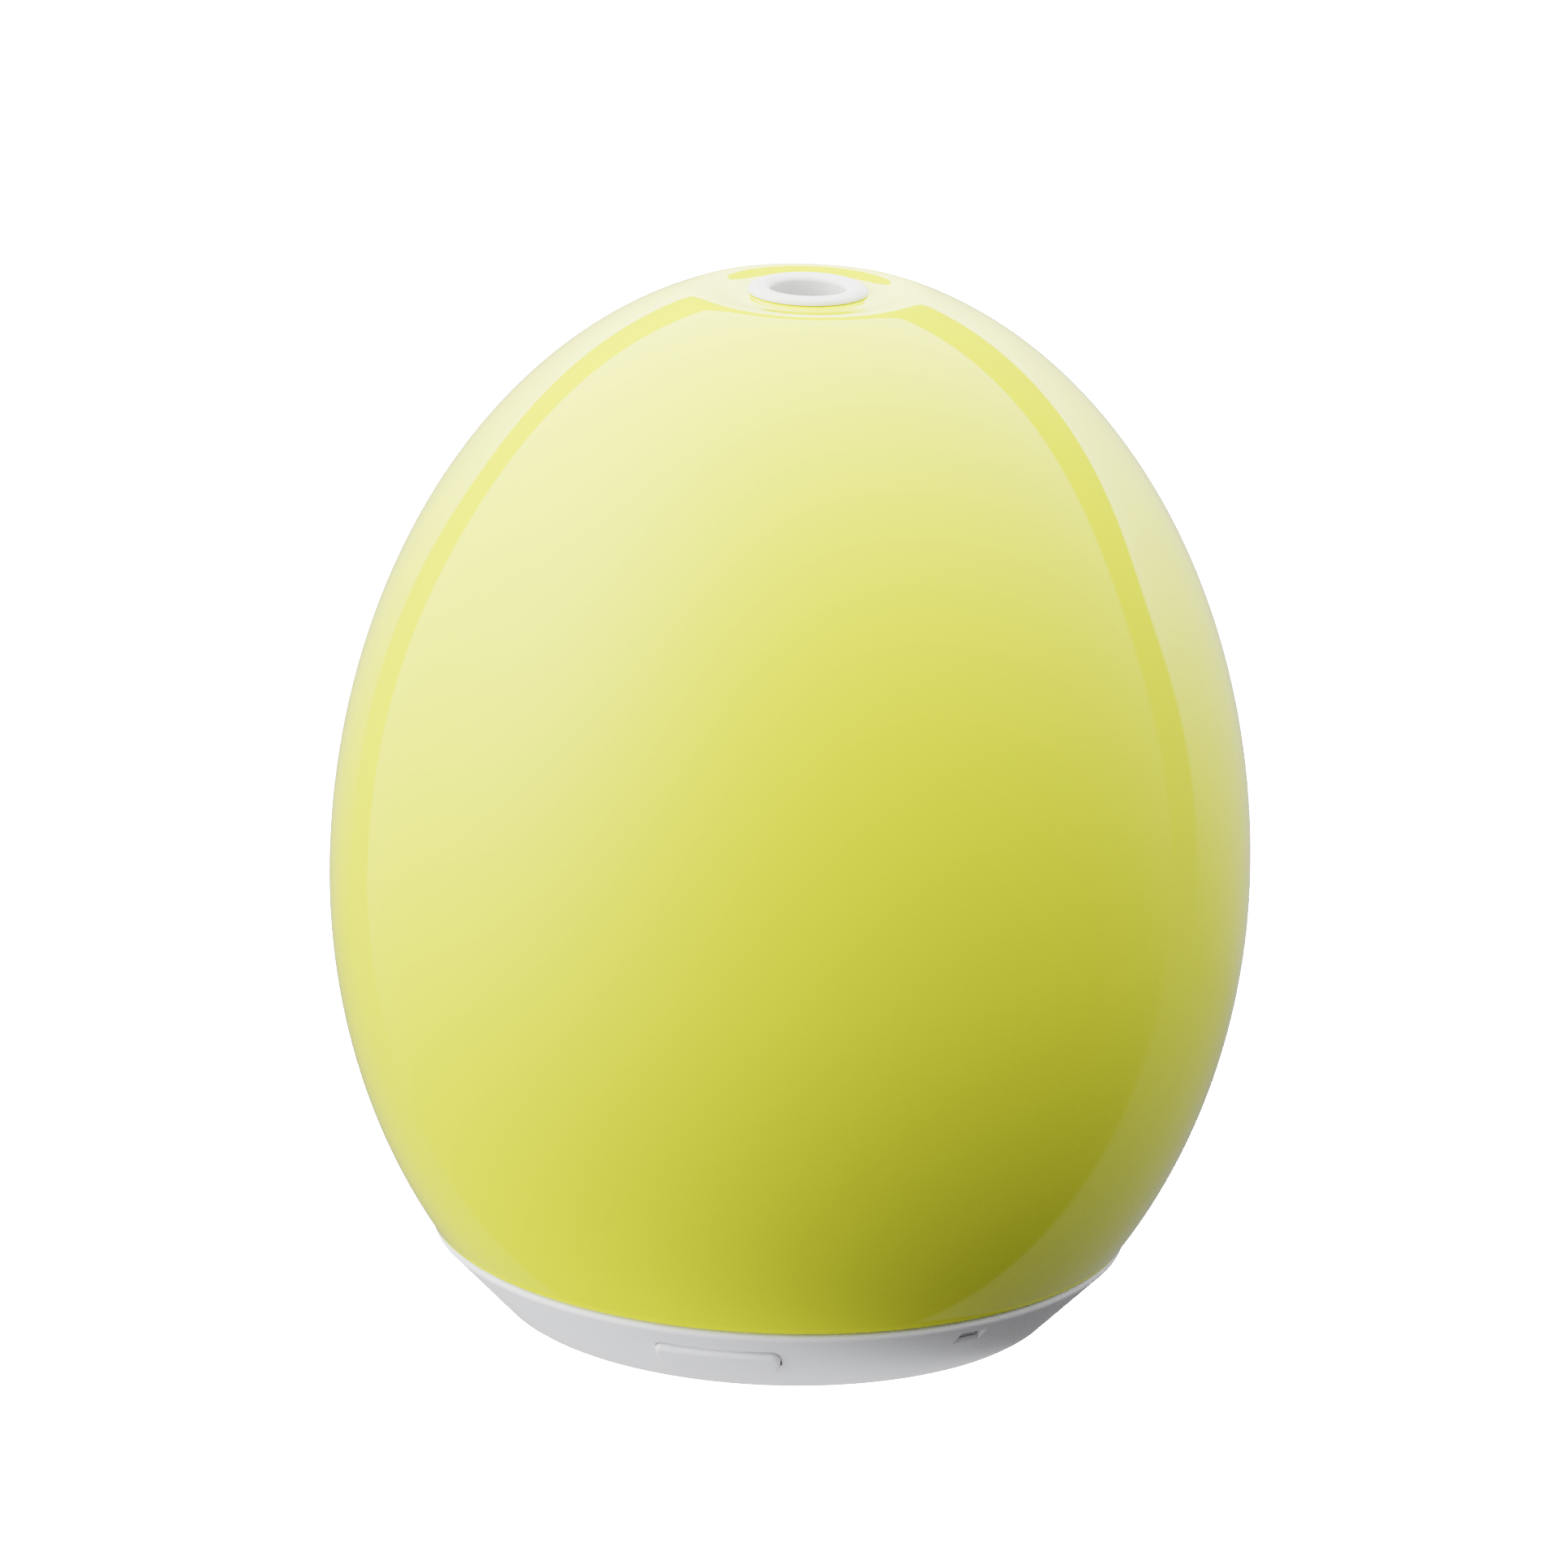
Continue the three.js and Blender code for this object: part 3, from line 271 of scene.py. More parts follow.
def soften(obj, width, segments=3, degrees=38):
    """Rounds the edges sharper than an angle, with a modifier."""
    modifier = obj.modifiers.new("soft edges", "BEVEL")
    modifier.width = width * MM
    modifier.segments = segments
    modifier.limit_method = "ANGLE"
    modifier.angle_limit = math.radians(degrees)
    modifier.harden_normals = True
    modifier.use_clamp_overlap = True


def turned(degrees):
    """A turn about Z that carries the front to a place, positive towards +X."""
    return Matrix.Rotation(math.radians(degrees), 4, "Z")


def finished(obj, body, slot, *nodes):
    """Gives a piece its material, its body and the CAD nodes it stands for."""
    obj.data.materials.clear()
    obj.data.materials.append(materials[slot])
    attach(obj, body)
    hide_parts(*nodes)


# ------------------------------------------------------------------ materials
def new_material(name):
    material = bpy.data.materials.new(name)
    material.use_nodes = True
    nodes = material.node_tree.nodes
    nodes.clear()
    output = nodes.new("ShaderNodeOutputMaterial")
    shader = nodes.new("ShaderNodeBsdfPrincipled")
    material.node_tree.links.new(shader.outputs["BSDF"], output.inputs["Surface"])
    return material, nodes, material.node_tree.links, shader


def noise(nodes, links, scale, detail=3, stretch=(1, 1, 1)):
    """A noise texture over the object's own coordinates, with its scale in cells per metre."""
    place = nodes.new("ShaderNodeTexCoord")
    mapping = nodes.new("ShaderNodeMapping")
    mapping.inputs["Scale"].default_value = stretch
    texture = nodes.new("ShaderNodeTexNoise")
    texture.inputs["Scale"].default_value = scale
    texture.inputs["Detail"].default_value = detail
    links.new(place.outputs["Object"], mapping.inputs["Vector"])
    links.new(mapping.outputs["Vector"], texture.inputs["Vector"])
    return texture.outputs["Fac"]


def spread(nodes, links, value, low, high):
    """Maps the middle of a noise to a range."""
    node = nodes.new("ShaderNodeMapRange")
    node.inputs["From Min"].default_value = 0.3
    node.inputs["From Max"].default_value = 0.7
    node.inputs["To Min"].default_value = low
    node.inputs["To Max"].default_value = high
    links.new(value, node.inputs["Value"])
    return node.outputs["Result"]


def tinted(nodes, links, value, colour, change):
    """A colour that drifts by a small share between two tones."""
    mix = nodes.new("ShaderNodeMix")
    mix.data_type = "RGBA"
    mix.inputs["A"].default_value = (*(c * (1 - change) for c in colour), 1)
    mix.inputs["B"].default_value = (*(min(1, c * (1 + change)) for c in colour), 1)
    links.new(value, mix.inputs["Factor"])
    return mix.outputs["Result"]


def bumped(nodes, links, shader, value, strength, distance):
    bump = nodes.new("ShaderNodeBump")
    bump.inputs["Strength"].default_value = strength
    bump.inputs["Distance"].default_value = distance * MM
    links.new(value, bump.inputs["Height"])
    links.new(bump.outputs["Normal"], shader.inputs["Normal"])


def moulded(name, colour, roughness, grain=0.0, grain_scale=2500, change=0.02, ior=1.5, metallic=0):
    """Moulded plastic, rubber or metal: a slow drift of tone and gloss, and a fine grain."""
    material, nodes, links, shader = new_material(name)
    drift = noise(nodes, links, 28)
    links.new(tinted(nodes, links, drift, colour, change), shader.inputs["Base Color"])
    gloss = noise(nodes, links, 60, detail=4)
    links.new(
        spread(nodes, links, gloss, roughness * 0.88, roughness * 1.12), shader.inputs["Roughness"]
    )
    shader.inputs["IOR"].default_value = ior
    shader.inputs["Metallic"].default_value = metallic
    if grain:
        bumped(nodes, links, shader, noise(nodes, links, grain_scale), grain, 0.02)
    return material


def foam(name, colour):
    """Open cell foam: lighter walls round pores that are painted darker, as painted shade in the holes."""
    material, nodes, links, shader = new_material(name)
    place = nodes.new("ShaderNodeTexCoord")
    cells = nodes.new("ShaderNodeTexVoronoi")
    cells.inputs["Scale"].default_value = 1100
    links.new(place.outputs["Object"], cells.inputs["Vector"])
    # painted shade: each cell's middle is darkened to stand for the shade inside the pores
    links.new(tinted(nodes, links, cells.outputs["Distance"], colour, 0.6), shader.inputs["Base Color"])
    shader.inputs["Roughness"].default_value = 0.95
    bumped(nodes, links, shader, cells.outputs["Distance"], 0.8, 0.3)
    return material


def brushed(name, colour, roughness):
    """Metal with fine lines from its finish."""
    material, nodes, links, shader = new_material(name)
    lines = noise(nodes, links, 900, stretch=(1, 1, 0.08))
    links.new(tinted(nodes, links, lines, colour, 0.06), shader.inputs["Base Color"])
    links.new(spread(nodes, links, lines, roughness * 0.7, roughness * 1.3), shader.inputs["Roughness"])
    shader.inputs["Metallic"].default_value = 1
    bumped(nodes, links, shader, lines, 0.15, 0.02)
    return material


def solder_mask(name, colour):
    """A circuit board: green lacquer with faint copper tracks under it."""
    material, nodes, links, shader = new_material(name)
    place = nodes.new("ShaderNodeTexCoord")
    tracks = nodes.new("ShaderNodeTexBrick")
    tracks.inputs["Scale"].default_value = 260
    tracks.inputs["Mortar Size"].default_value = 0.06
    tracks.inputs["Color1"].default_value = (*colour, 1)
    tracks.inputs["Color2"].default_value = (*(c * 0.85 for c in colour), 1)
    tracks.inputs["Mortar"].default_value = (*(min(1, c * 1.7) for c in colour), 1)
    links.new(place.outputs["Object"], tracks.inputs["Vector"])
    links.new(tracks.outputs["Color"], shader.inputs["Base Color"])
    links.new(spread(nodes, links, noise(nodes, links, 300), 0.22, 0.34), shader.inputs["Roughness"])
    bumped(nodes, links, shader, tracks.outputs["Fac"], 0.2, 0.05)
    return material


materials = {
    "cover_lime": moulded("cover_lime", (0.92, 0.917, 0.108), 0.022, change=0.006, ior=1.5),
    "housing_white": moulded("housing_white", (0.85, 0.86, 0.885), 0.42, grain=0.25, change=0.012),
    "outlet_white": moulded("outlet_white", (0.80, 0.80, 0.78), 0.34, grain=0.2, change=0.012),
    "tank_white": moulded("tank_white", (0.78, 0.79, 0.79), 0.36, grain=0.2),
    "silicone": moulded("silicone", (0.62, 0.63, 0.61), 0.55, grain=0.3),
    "foot_rubber": moulded("foot_rubber", (0.26, 0.26, 0.27), 0.75, grain=0.6, grain_scale=1400),
    "black_plastic": moulded("black_plastic", (0.02, 0.02, 0.022), 0.5, grain=0.4, change=0.15),
    "board_green": solder_mask("board_green", (0.015, 0.14, 0.045)),
    "connector_white": moulded("connector_white", (0.82, 0.79, 0.68), 0.45, grain=0.15),
    "lens_clear": moulded("lens_clear", (0.86, 0.88, 0.89), 0.18),
    "filter_foam": foam("filter_foam", (0.09, 0.095, 0.1)),
    "float_plastic": moulded("float_plastic", (0.72, 0.78, 0.82), 0.5, grain=0.6, grain_scale=1200),
    "lead_red": moulded("lead_red", (0.40, 0.025, 0.03), 0.38, change=0.05),
    "lead_black": moulded("lead_black", (0.02, 0.02, 0.022), 0.4, change=0.15),
    "lead_white": moulded("lead_white", (0.78, 0.78, 0.75), 0.4),
    "steel": brushed("steel", (0.55, 0.56, 0.58), 0.32),
    "aluminium": brushed("aluminium", (0.68, 0.69, 0.71), 0.36),
    "ceramic_disc": moulded("ceramic_disc", (0.70, 0.64, 0.48), 0.3, grain=0.3, change=0.05),
}


# ------------------------------------------------------------------ the cover and what it carries
def dish(radius):
    """How far the cover dips below the egg's outline, round the outlet."""
    share = (DISH_RADIUS - radius) / (DISH_RADIUS - DISH_FLOOR_RADIUS)
    share = min(max(share, 0.0), 1.0)
    return DISH_DEPTH * share * share * (3 - 2 * share)


def egg_arc(inset, from_z, to_r, lower_steps, upper_steps):
    """The egg's outline from a height near its edge up to a radius near its top, inset by a wall."""
    radius = EGG_RADIUS - inset
    lower = EGG_LOWER_HEIGHT - inset
    upper = EGG_UPPER_HEIGHT - inset
    start = -math.degrees(math.asin((EGG_EQUATOR_Z - from_z) / lower))
    end = math.degrees(math.acos(to_r / radius))
    below = arc(0, EGG_EQUATOR_Z, radius, lower, start, 0, lower_steps)
    above = arc(0, EGG_EQUATOR_Z, radius, upper, 0, end, upper_steps)
    return below[:-1] + [(r, z - dish(r)) for r, z in above]


def egg_top_z(radius, inset=0.0):
    share = radius / (EGG_RADIUS - inset)
    return EGG_EQUATOR_Z + (EGG_UPPER_HEIGHT - inset) * math.sqrt(1 - share * share) - dish(radius)


def outer_cover():
    edge_round = COVER_EDGE_ROUND
    edge_z = COVER_EDGE_Z + edge_round
    outside = egg_arc(0, edge_z, OUTLET_HOLE_RADIUS, 56, 88)
    inside = egg_arc(COVER_WALL, COVER_RIM_TOP_Z + 2, OUTLET_HOLE_RADIUS, 28, 44)
    edge = arc(outside[0][0] - edge_round, edge_z, edge_round, edge_round, -90, -12, 6)
    rim = rounded(
        [
            (COVER_RIM_RADIUS + 1.6, COVER_RIM_TOP_Z + 0.6),
            (COVER_RIM_RADIUS, COVER_RIM_TOP_Z, 0.3),
            (COVER_RIM_RADIUS, COVER_EDGE_Z, 0.3),
            edge[0],
        ]
    )
    outline = edge[:-1] + outside + list(reversed(inside)) + rim[:-1]
    obj = to_object("cover_shell", lathe(outline))
    smooth(obj)
    finished(obj, "cover", "cover_lime", "outer_cover")


def mist_outlet_ring():
    """A soft bead round the outlet that rolls down into the bore."""
    seat_z = egg_top_z(RING_RADIUS) + 0.14
    under_z = egg_top_z(OUTLET_HOLE_RADIUS, COVER_WALL)
    bead_r = (RING_RADIUS - RING_BORE_RADIUS) / 2
    rise = RING_CREST_Z - seat_z
    bead = arc(RING_RADIUS - bead_r, seat_z, bead_r, rise, 0, 180, 28)
    outline = [
        (RING_BORE_RADIUS, RING_LOW.z, 0.3),
        (RING_NECK_RADIUS - 0.3, RING_LOW.z, 0.2),
        (RING_NECK_RADIUS, under_z - 2.2),
        (RING_NECK_RADIUS + 0.7, under_z - 0.8),
        (RING_NECK_RADIUS, under_z - 0.3),
        (RING_NECK_RADIUS, seat_z + 0.2),
        (RING_RADIUS - 0.05, seat_z - 0.02),
        *bead,
    ]
    obj = to_object("outlet_ring", lathe(rounded(outline), MEDIUM))
    smooth(obj)
    finished(obj, "cover", "outlet_white", "mist_outlet_ring")


# ------------------------------------------------------------------ the base
def base_radius(z):
    return BASE_BOTTOM_RADIUS + (z - BASE_EDGE_Z) * BASE_SLOPE


SLOPE_LENGTH = math.hypot(1, BASE_SLOPE)
BUTTON_FRAME = Matrix(
    (
        (1, 0, 0, 0),
        (0, -BASE_SLOPE / SLOPE_LENGTH, -1 / SLOPE_LENGTH, -base_radius(BUTTON_CENTRE_Z)),
        (0, 1 / SLOPE_LENGTH, -BASE_SLOPE / SLOPE_LENGTH, BUTTON_CENTRE_Z),
        (0, 0, 0, 1),
    )
)


def rounded_rectangle(width, height, radius, steps=6):
    points = []
    for sx, sy, start in ((1, 1, 0), (-1, 1, 90), (-1, -1, 180), (1, -1, 270)):
        for i in range(steps + 1):
            a = math.radians(start + 90 * i / steps)
            x = sx * (width / 2 - radius) + radius * math.cos(a)
            y = sy * (height / 2 - radius) + radius * math.sin(a)
            points.append((x, y))
    return points


def prism(outline, low, high, matrix):
    """A bmesh prism over a flat outline, between two depths, then placed by a matrix."""
    shape = bmesh.new()
    bottom = [shape.verts.new((x, y, low)) for x, y in outline]
    top = [shape.verts.new((x, y, high)) for x, y in outline]
    shape.faces.new(list(reversed(bottom)))
    shape.faces.new(top)
    for i in range(len(outline)):
        j = (i + 1) % len(outline)
        shape.faces.new((bottom[i], bottom[j], top[j], top[i]))
    bmesh.ops.transform(shape, matrix=matrix, verts=shape.verts)
    bmesh.ops.recalc_face_normals(shape, faces=shape.faces)
    return shape


def base_ring():
    inner_top = base_radius(SHOULDER_UNDERSIDE_Z) - BASE_WALL
    inner_bottom = base_radius(PLATE_SEAT_Z) - BASE_WALL
    sole_radius = BASE_BOTTOM_RADIUS - 0.6
    lip = arc(LIP_CIRCLE_RADIUS, SHOULDER_Z - LIP_RADIUS, LIP_RADIUS, LIP_RADIUS, -40, 86, 14)
    shell = rounded([(sole_radius, BASE_LOW.z), (BASE_BOTTOM_RADIUS, BASE_EDGE_Z, 0.35), lip[0]])
    inside = rounded(
        [
            lip[-1],
            (CHANNEL_OUTER_RADIUS, CHANNEL_Z, 0.1),
            (CHANNEL_INNER_RADIUS, CHANNEL_Z, 0.1),
            (CHANNEL_INNER_RADIUS, SHOULDER_Z, 0.15),
            (UPSTAND_RADIUS, SHOULDER_Z, 0.2),
            (UPSTAND_RADIUS, BASE_HIGH.z, 0.5),
            (BASE_HOLE_RADIUS, BASE_HIGH.z, 0.4),
            (BASE_HOLE_RADIUS, SHOULDER_UNDERSIDE_Z, 0.2),
            (inner_top, SHOULDER_UNDERSIDE_Z),
            (inner_bottom, PLATE_SEAT_Z),
            (PLATE_RADIUS + PLATE_GAP, PLATE_SEAT_Z),
            (PLATE_RADIUS + PLATE_GAP, BASE_LOW.z, 0.2),
            (sole_radius, BASE_LOW.z),
        ]
    )
    obj = to_object("base_shell", lathe(shell[:-1] + lip[:-1] + inside[:-1]))
    width = BUTTON_WIDTH + 2 * BUTTON_GAP
    depth = BUTTON_HEIGHT + 2 * BUTTON_GAP
    opening = rounded_rectangle(width, depth, BUTTON_OPENING_CORNER_RADIUS)
    cut(obj, prism(opening, -5, 6, BUTTON_FRAME))
    half = WINDOW_WIDTH / 2
    place = turned(WINDOW_ANGLE)
    cut(obj, block((-half, -60, WINDOW_Z0 - 1), (half, -WINDOW_FLOOR_RADIUS, WINDOW_Z1), place))
    half -= 0.2
    cut(obj, block((-half, -60, WINDOW_Z0 + 0.15), (half, -48, WINDOW_Z1 - 0.15), place))
    jack = [(JACK_HOLE_RADIUS * math.cos(a), JACK_HOLE_RADIUS * math.sin(a)) for a in steps_round(48)]
    along_y = Matrix.Translation((0, 0, JACK_Z)) @ Matrix.Rotation(math.radians(-90), 4, "X")
    cut(obj, prism(jack, 44, 60, along_y))
    soften(obj, 0.12)
    smooth(obj)
    finished(obj, "base", "housing_white", "base_ring")


def steps_round(count):
    return [2 * math.pi * i / count for i in range(count)]


def on_base(x, y, height):
    """A point over the base's slope: x along it and y up it from the button's centre, and a height."""
    z = BUTTON_CENTRE_Z + y / SLOPE_LENGTH
    angle = x / base_radius(BUTTON_CENTRE_Z)
    r = base_radius(z) + height / SLOPE_LENGTH
    z -= height * BASE_SLOPE / SLOPE_LENGTH
    return (r * math.sin(angle), -r * math.cos(angle), z)


def power_button():
    """The cap follows the base's curve, with rounded edges and corners, over a flange and a stem."""
    shape = bmesh.new()
    loops = []
    profile = [(0, -BUTTON_SKIRT_DEPTH)]
    for i in range(9):
        a = math.radians(90 * i / 8)
        profile.append(
            (
                BUTTON_EDGE_ROUND * (1 - math.cos(a)),
                BUTTON_RISE - BUTTON_EDGE_ROUND * (1 - math.sin(a)),
            )
        )
    profile += [(inset, BUTTON_RISE) for inset in (1.2, 1.8, 2.3, BUTTON_HEIGHT / 2)]
    for inset, height in profile:
        width = BUTTON_WIDTH - 2 * inset
        depth = BUTTON_HEIGHT - 2 * inset
        radius = min(max(BUTTON_CORNER_RADIUS - inset, 0.12), depth / 2)
        loop = []
        corner_steps = 8
        outline = rounded_rectangle(width, depth, radius, corner_steps)
        for k, (x, y) in enumerate(outline):
            loop.append(shape.verts.new(on_base(x, y, height)))
            after = outline[(k + 1) % len(outline)]
            if k % (corner_steps + 1) == corner_steps:
                for part in range(1, 16):
                    share = part / 16
                    between = (x + (after[0] - x) * share, y + (after[1] - y) * share)
                    loop.append(shape.verts.new(on_base(*between, height)))
        loops.append(loop)
    for lower, upper in zip(loops, loops[1:]):
        for i in range(len(lower)):
            j = (i + 1) % len(lower)
            shape.faces.new((lower[i], lower[j], upper[j], upper[i]))
    bmesh.ops.remove_doubles(shape, verts=shape.verts, dist=0.001)
    shape.faces.new(loops[0])
    bmesh.ops.recalc_face_normals(shape, faces=shape.faces)
    flange = block((-11.4, -4, -3.6), (11.4, 2, -2.5), BUTTON_FRAME)
    stem = block((-2, -1.6, -6.2), (2, 1.6, -3.4), BUTTON_FRAME)
    obj = to_object("button_cap", join(shape, flange, stem))
    smooth(obj)
    finished(obj, "button", "housing_white", "power_button")


# ------------------------------------------------------------------ tank, lid and feet
def tank_lid():
    """The lid's bell over its skirt, with the seal's groove."""
    low, high = (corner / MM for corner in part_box("tank_lid"))
    collar = LID_COLLAR_RADIUS

    def bell(inset):
        a = Vector((high.x - inset, LID_BELL_FOOT_Z))
        b = Vector((46 - inset, 106 - inset))
        c = Vector((collar - inset + 2, 98 - inset))
        d = Vector((collar - inset, LID_BELL_HEAD_Z - inset))
        curve = []
        for i in range(41):
            t = i / 40
            s = 1 - t
            curve.append(tuple(a * s**3 + b * 3 * s * s * t + c * 3 * s * t * t + d * t**3))
        return curve

    outline = rounded(
        [
            (high.x, LID_SHOULDER_Z, 0.4),
            *bell(0),
            (collar, high.z, 0.4),
            (collar - LID_WALL, high.z, 0.3),
            *reversed(bell(LID_WALL)),
            (LID_SKIRT_INNER_RADIUS, LID_SHOULDER_Z + 1.2),
            (LID_SKIRT_INNER_RADIUS, low.z, 0.3),
            (LID_SKIRT_RADIUS, low.z, 0.3),
            (LID_SKIRT_RADIUS, SEAL_GROOVE_LOW_Z, 0.15),
            (SEAL_GROOVE_RADIUS, SEAL_GROOVE_LOW_Z, 0.15),
            (SEAL_GROOVE_RADIUS, SEAL_GROOVE_HIGH_Z, 0.15),
            (LID_SKIRT_RADIUS, SEAL_GROOVE_HIGH_Z, 0.15),
            (LID_SKIRT_RADIUS, LID_SHOULDER_Z, 0.15),
        ]
    )
    obj = to_object("lid_bell", lathe(outline))
    smooth(obj)
    finished(obj, "lid", "tank_white", "tank_lid")


def lid_chimney():
    """The tube on the lid, with the stop that rests on the collar."""
    low, high = (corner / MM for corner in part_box("lid_chimney"))
    outline = rounded(
        [
            (CHIMNEY_BORE_RADIUS, low.z, 0.3),
            (CHIMNEY_RADIUS, low.z, 0.3),
            (CHIMNEY_RADIUS, CHIMNEY_STOP_LOW_Z, 0.1),
            (CHIMNEY_STOP_RADIUS, CHIMNEY_STOP_LOW_Z, 0.2),
            (CHIMNEY_STOP_RADIUS, CHIMNEY_STOP_HIGH_Z, 0.4),
            (CHIMNEY_RADIUS, CHIMNEY_STOP_HIGH_Z + 0.8, 0.5),
            (CHIMNEY_RADIUS, high.z, 0.6),
            (CHIMNEY_BORE_RADIUS, high.z, 0.5),
        ]
    )
    obj = to_object("lid_chimney_tube", lathe(outline, MEDIUM))
    smooth(obj)
    finished(obj, "lid", "tank_white", "lid_chimney")


def tank_sleeve():
    """The sleeve, its four screw towers and the notch for the button's switch."""
    tube = rounded(
        [
            (SLEEVE_RADIUS, SLEEVE_BOTTOM_Z, 0.3),
            (SLEEVE_RADIUS, SLEEVE_TOP_Z, 0.3),
            (SLEEVE_INNER_RADIUS, SLEEVE_TOP_Z, 0.3),
            (SLEEVE_INNER_RADIUS, SLEEVE_BOTTOM_Z, 0.3),
        ]
    )
    obj = to_object("tank_sleeve_shell", lathe(tube))
    notch_low = (-NOTCH_HALF_WIDTH, -52, 10)
    cut(obj, block(notch_low, (NOTCH_HALF_WIDTH, -46, BASE_HIGH.z - 0.4)))
    tower = rounded(
        [
            (TOWER_BORE_RADIUS, TOWER_BOTTOM_Z, 0.1),
            (TOWER_RADIUS, TOWER_BOTTOM_Z, 0.3),
            (TOWER_RADIUS, TOWER_TOP_Z, 0.4),
            (0, TOWER_TOP_Z),
            (0, TOWER_BORE_TOP_Z),
            (TOWER_BORE_RADIUS, TOWER_BORE_TOP_Z),
        ]
    )
    rib_low = (CASE_SCREW_CIRCLE_RADIUS + 3, -TOWER_RIB_HALF_WIDTH, SLEEVE_BOTTOM_Z)
    rib_high = (49, TOWER_RIB_HALF_WIDTH, TOWER_TOP_Z)
    shapes = []
    for angle in CASE_SCREW_ANGLES:
        turn = Matrix.Rotation(math.radians(angle), 4, "Z")
        x = CASE_SCREW_CIRCLE_RADIUS * math.cos(math.radians(angle))
        y = CASE_SCREW_CIRCLE_RADIUS * math.sin(math.radians(angle))
        shapes.append(lathe(tower, 32, (x, y)))
        shapes.append(block(rib_low, rib_high, turn))
    towers = to_object("towers", join(*shapes))
    whole = bmesh.new()
    whole.from_mesh(obj.data)
    whole.from_mesh(towers.data)
    whole.to_mesh(obj.data)
    whole.free()
    bpy.data.objects.remove(towers)
    smooth(obj)
    finished(obj, "base", "tank_white", "tank_sleeve")


def foot(number):
    """A rubber foot with a rounded sole edge and a shallow dished sole."""
    low, high = (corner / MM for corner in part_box(f"foot_{number}"))
    centre = (low + high) / 2
    radius = (high.x - low.x) / 2
    outline = rounded(
        [
            (0, 0.25),
            (radius - 1.6, 0.25),
            (radius - 1.2, 0, 0.2),
            (radius, 0, 0.4),
            (radius, high.z, 0.2),
            (0, high.z),
        ]
    )
    obj = to_object(f"rubber_foot_{number}", lathe(outline, 48, (centre.x, centre.y)))
    smooth(obj)
    finished(obj, "base", "foot_rubber", f"foot_{number}")


def keep_cad_parts():
    """The CAD parts that still show: softened edges, smooth round faces and a material of their own."""
    slots = {part["node"]: part["material_slot"] for part in frame["record"]["subparts"]}
    for name, obj in frame["nodes"].items():
        if obj.hide_render:
            continue
        slot = slots[name]
        obj.data.materials.clear()
        obj.data.materials.append(materials[slot])
        normals = obj.data.attributes.get("custom_normal")
        if normals:
            obj.data.attributes.remove(normals)
        obj.data.polygons.foreach_set("use_smooth", [True] * len(obj.data.polygons))
        weld = obj.modifiers.new("weld", "WELD")
        weld.merge_threshold = 0.000001
        soften(obj, 0.12, segments=2)


outer_cover()
mist_outlet_ring()
base_ring()
power_button()
tank_lid()
lid_chimney()
tank_sleeve()
for foot_number in range(1, 5):
    foot(foot_number)
keep_cad_parts()


# ------------------------------------------------------------------ floor, light and camera
def floor():
    """A plain pale floor that a camera below it looks through."""
    shape = bmesh.new()
    bmesh.ops.create_circle(shape, cap_ends=True, segments=96, radius=FLOOR_RADIUS)
    obj = to_object("floor", shape)
    material = bpy.data.materials.new("pale_floor")
    material.use_nodes = True
    nodes = material.node_tree.nodes
    links = material.node_tree.links
    nodes.clear()
    output = nodes.new("ShaderNodeOutputMaterial")
    pale = nodes.new("ShaderNodeEmission")
    pale.inputs["Strength"].default_value = PALE
    clear = nodes.new("ShaderNodeBsdfTransparent")
    sides = nodes.new("ShaderNodeNewGeometry")
    mix = nodes.new("ShaderNodeMixShader")
    links.new(sides.outputs["Backfacing"], mix.inputs["Fac"])
    links.new(pale.outputs["Emission"], mix.inputs[1])
    links.new(clear.outputs["BSDF"], mix.inputs[2])
    links.new(mix.outputs["Shader"], output.inputs["Surface"])
    obj.data.materials.append(material)
    obj.visible_diffuse = False
    obj.visible_glossy = False
    obj.visible_transmission = False
    obj.visible_shadow = False


BOUNCE_RADIUS = 80
BOUNCE_CENTRE = (-36, -8, -0.5)
BOUNCE_STRENGTH = 0.82


def table_bounce():
    """The light that a pale table gives back to the base, seen by diffuse surfaces only."""
    shape = bmesh.new()
    bmesh.ops.create_circle(shape, cap_ends=True, segments=64, radius=BOUNCE_RADIUS)
    bmesh.ops.translate(shape, vec=BOUNCE_CENTRE, verts=shape.verts)
    obj = to_object("table_bounce", shape)
    material = bpy.data.materials.new("table_bounce")
    material.use_nodes = True
    nodes = material.node_tree.nodes
    nodes.clear()
    output = nodes.new("ShaderNodeOutputMaterial")
    glow = nodes.new("ShaderNodeEmission")
    glow.inputs["Strength"].default_value = BOUNCE_STRENGTH
    material.node_tree.links.new(glow.outputs["Emission"], output.inputs["Surface"])
    obj.data.materials.append(material)
    obj.visible_camera = False
    obj.visible_glossy = False
    obj.visible_transmission = False
    obj.visible_shadow = False


# The studio: a soft tent, brightest at the upper left and dark at the lower right. Behind the object it is
# open on a paler back wall.
STUDIO_STRENGTH = 1.2
TENT_BASE = 0.689
TENT_LEAN = (-0.07, 0.552, 0.838)
TENT_POWER = 2.81
KEY_STRENGTH = 3.37
KEY_SPREAD = 3.75
KEY_AZIMUTH = -67.5
KEY_ELEVATION = 27.6
OPENING_HALF_WIDTH = 1.8
OPENING_HEIGHT = 0.78
WALL_HALF_WIDTH = 1.15
WALL_HEIGHT = 0.38
GAP_LIGHT = 0.33
WALL_LIGHT = 1.3
WALL_RISE = 3.0
WALL_FOOT = (-0.37, -0.32)


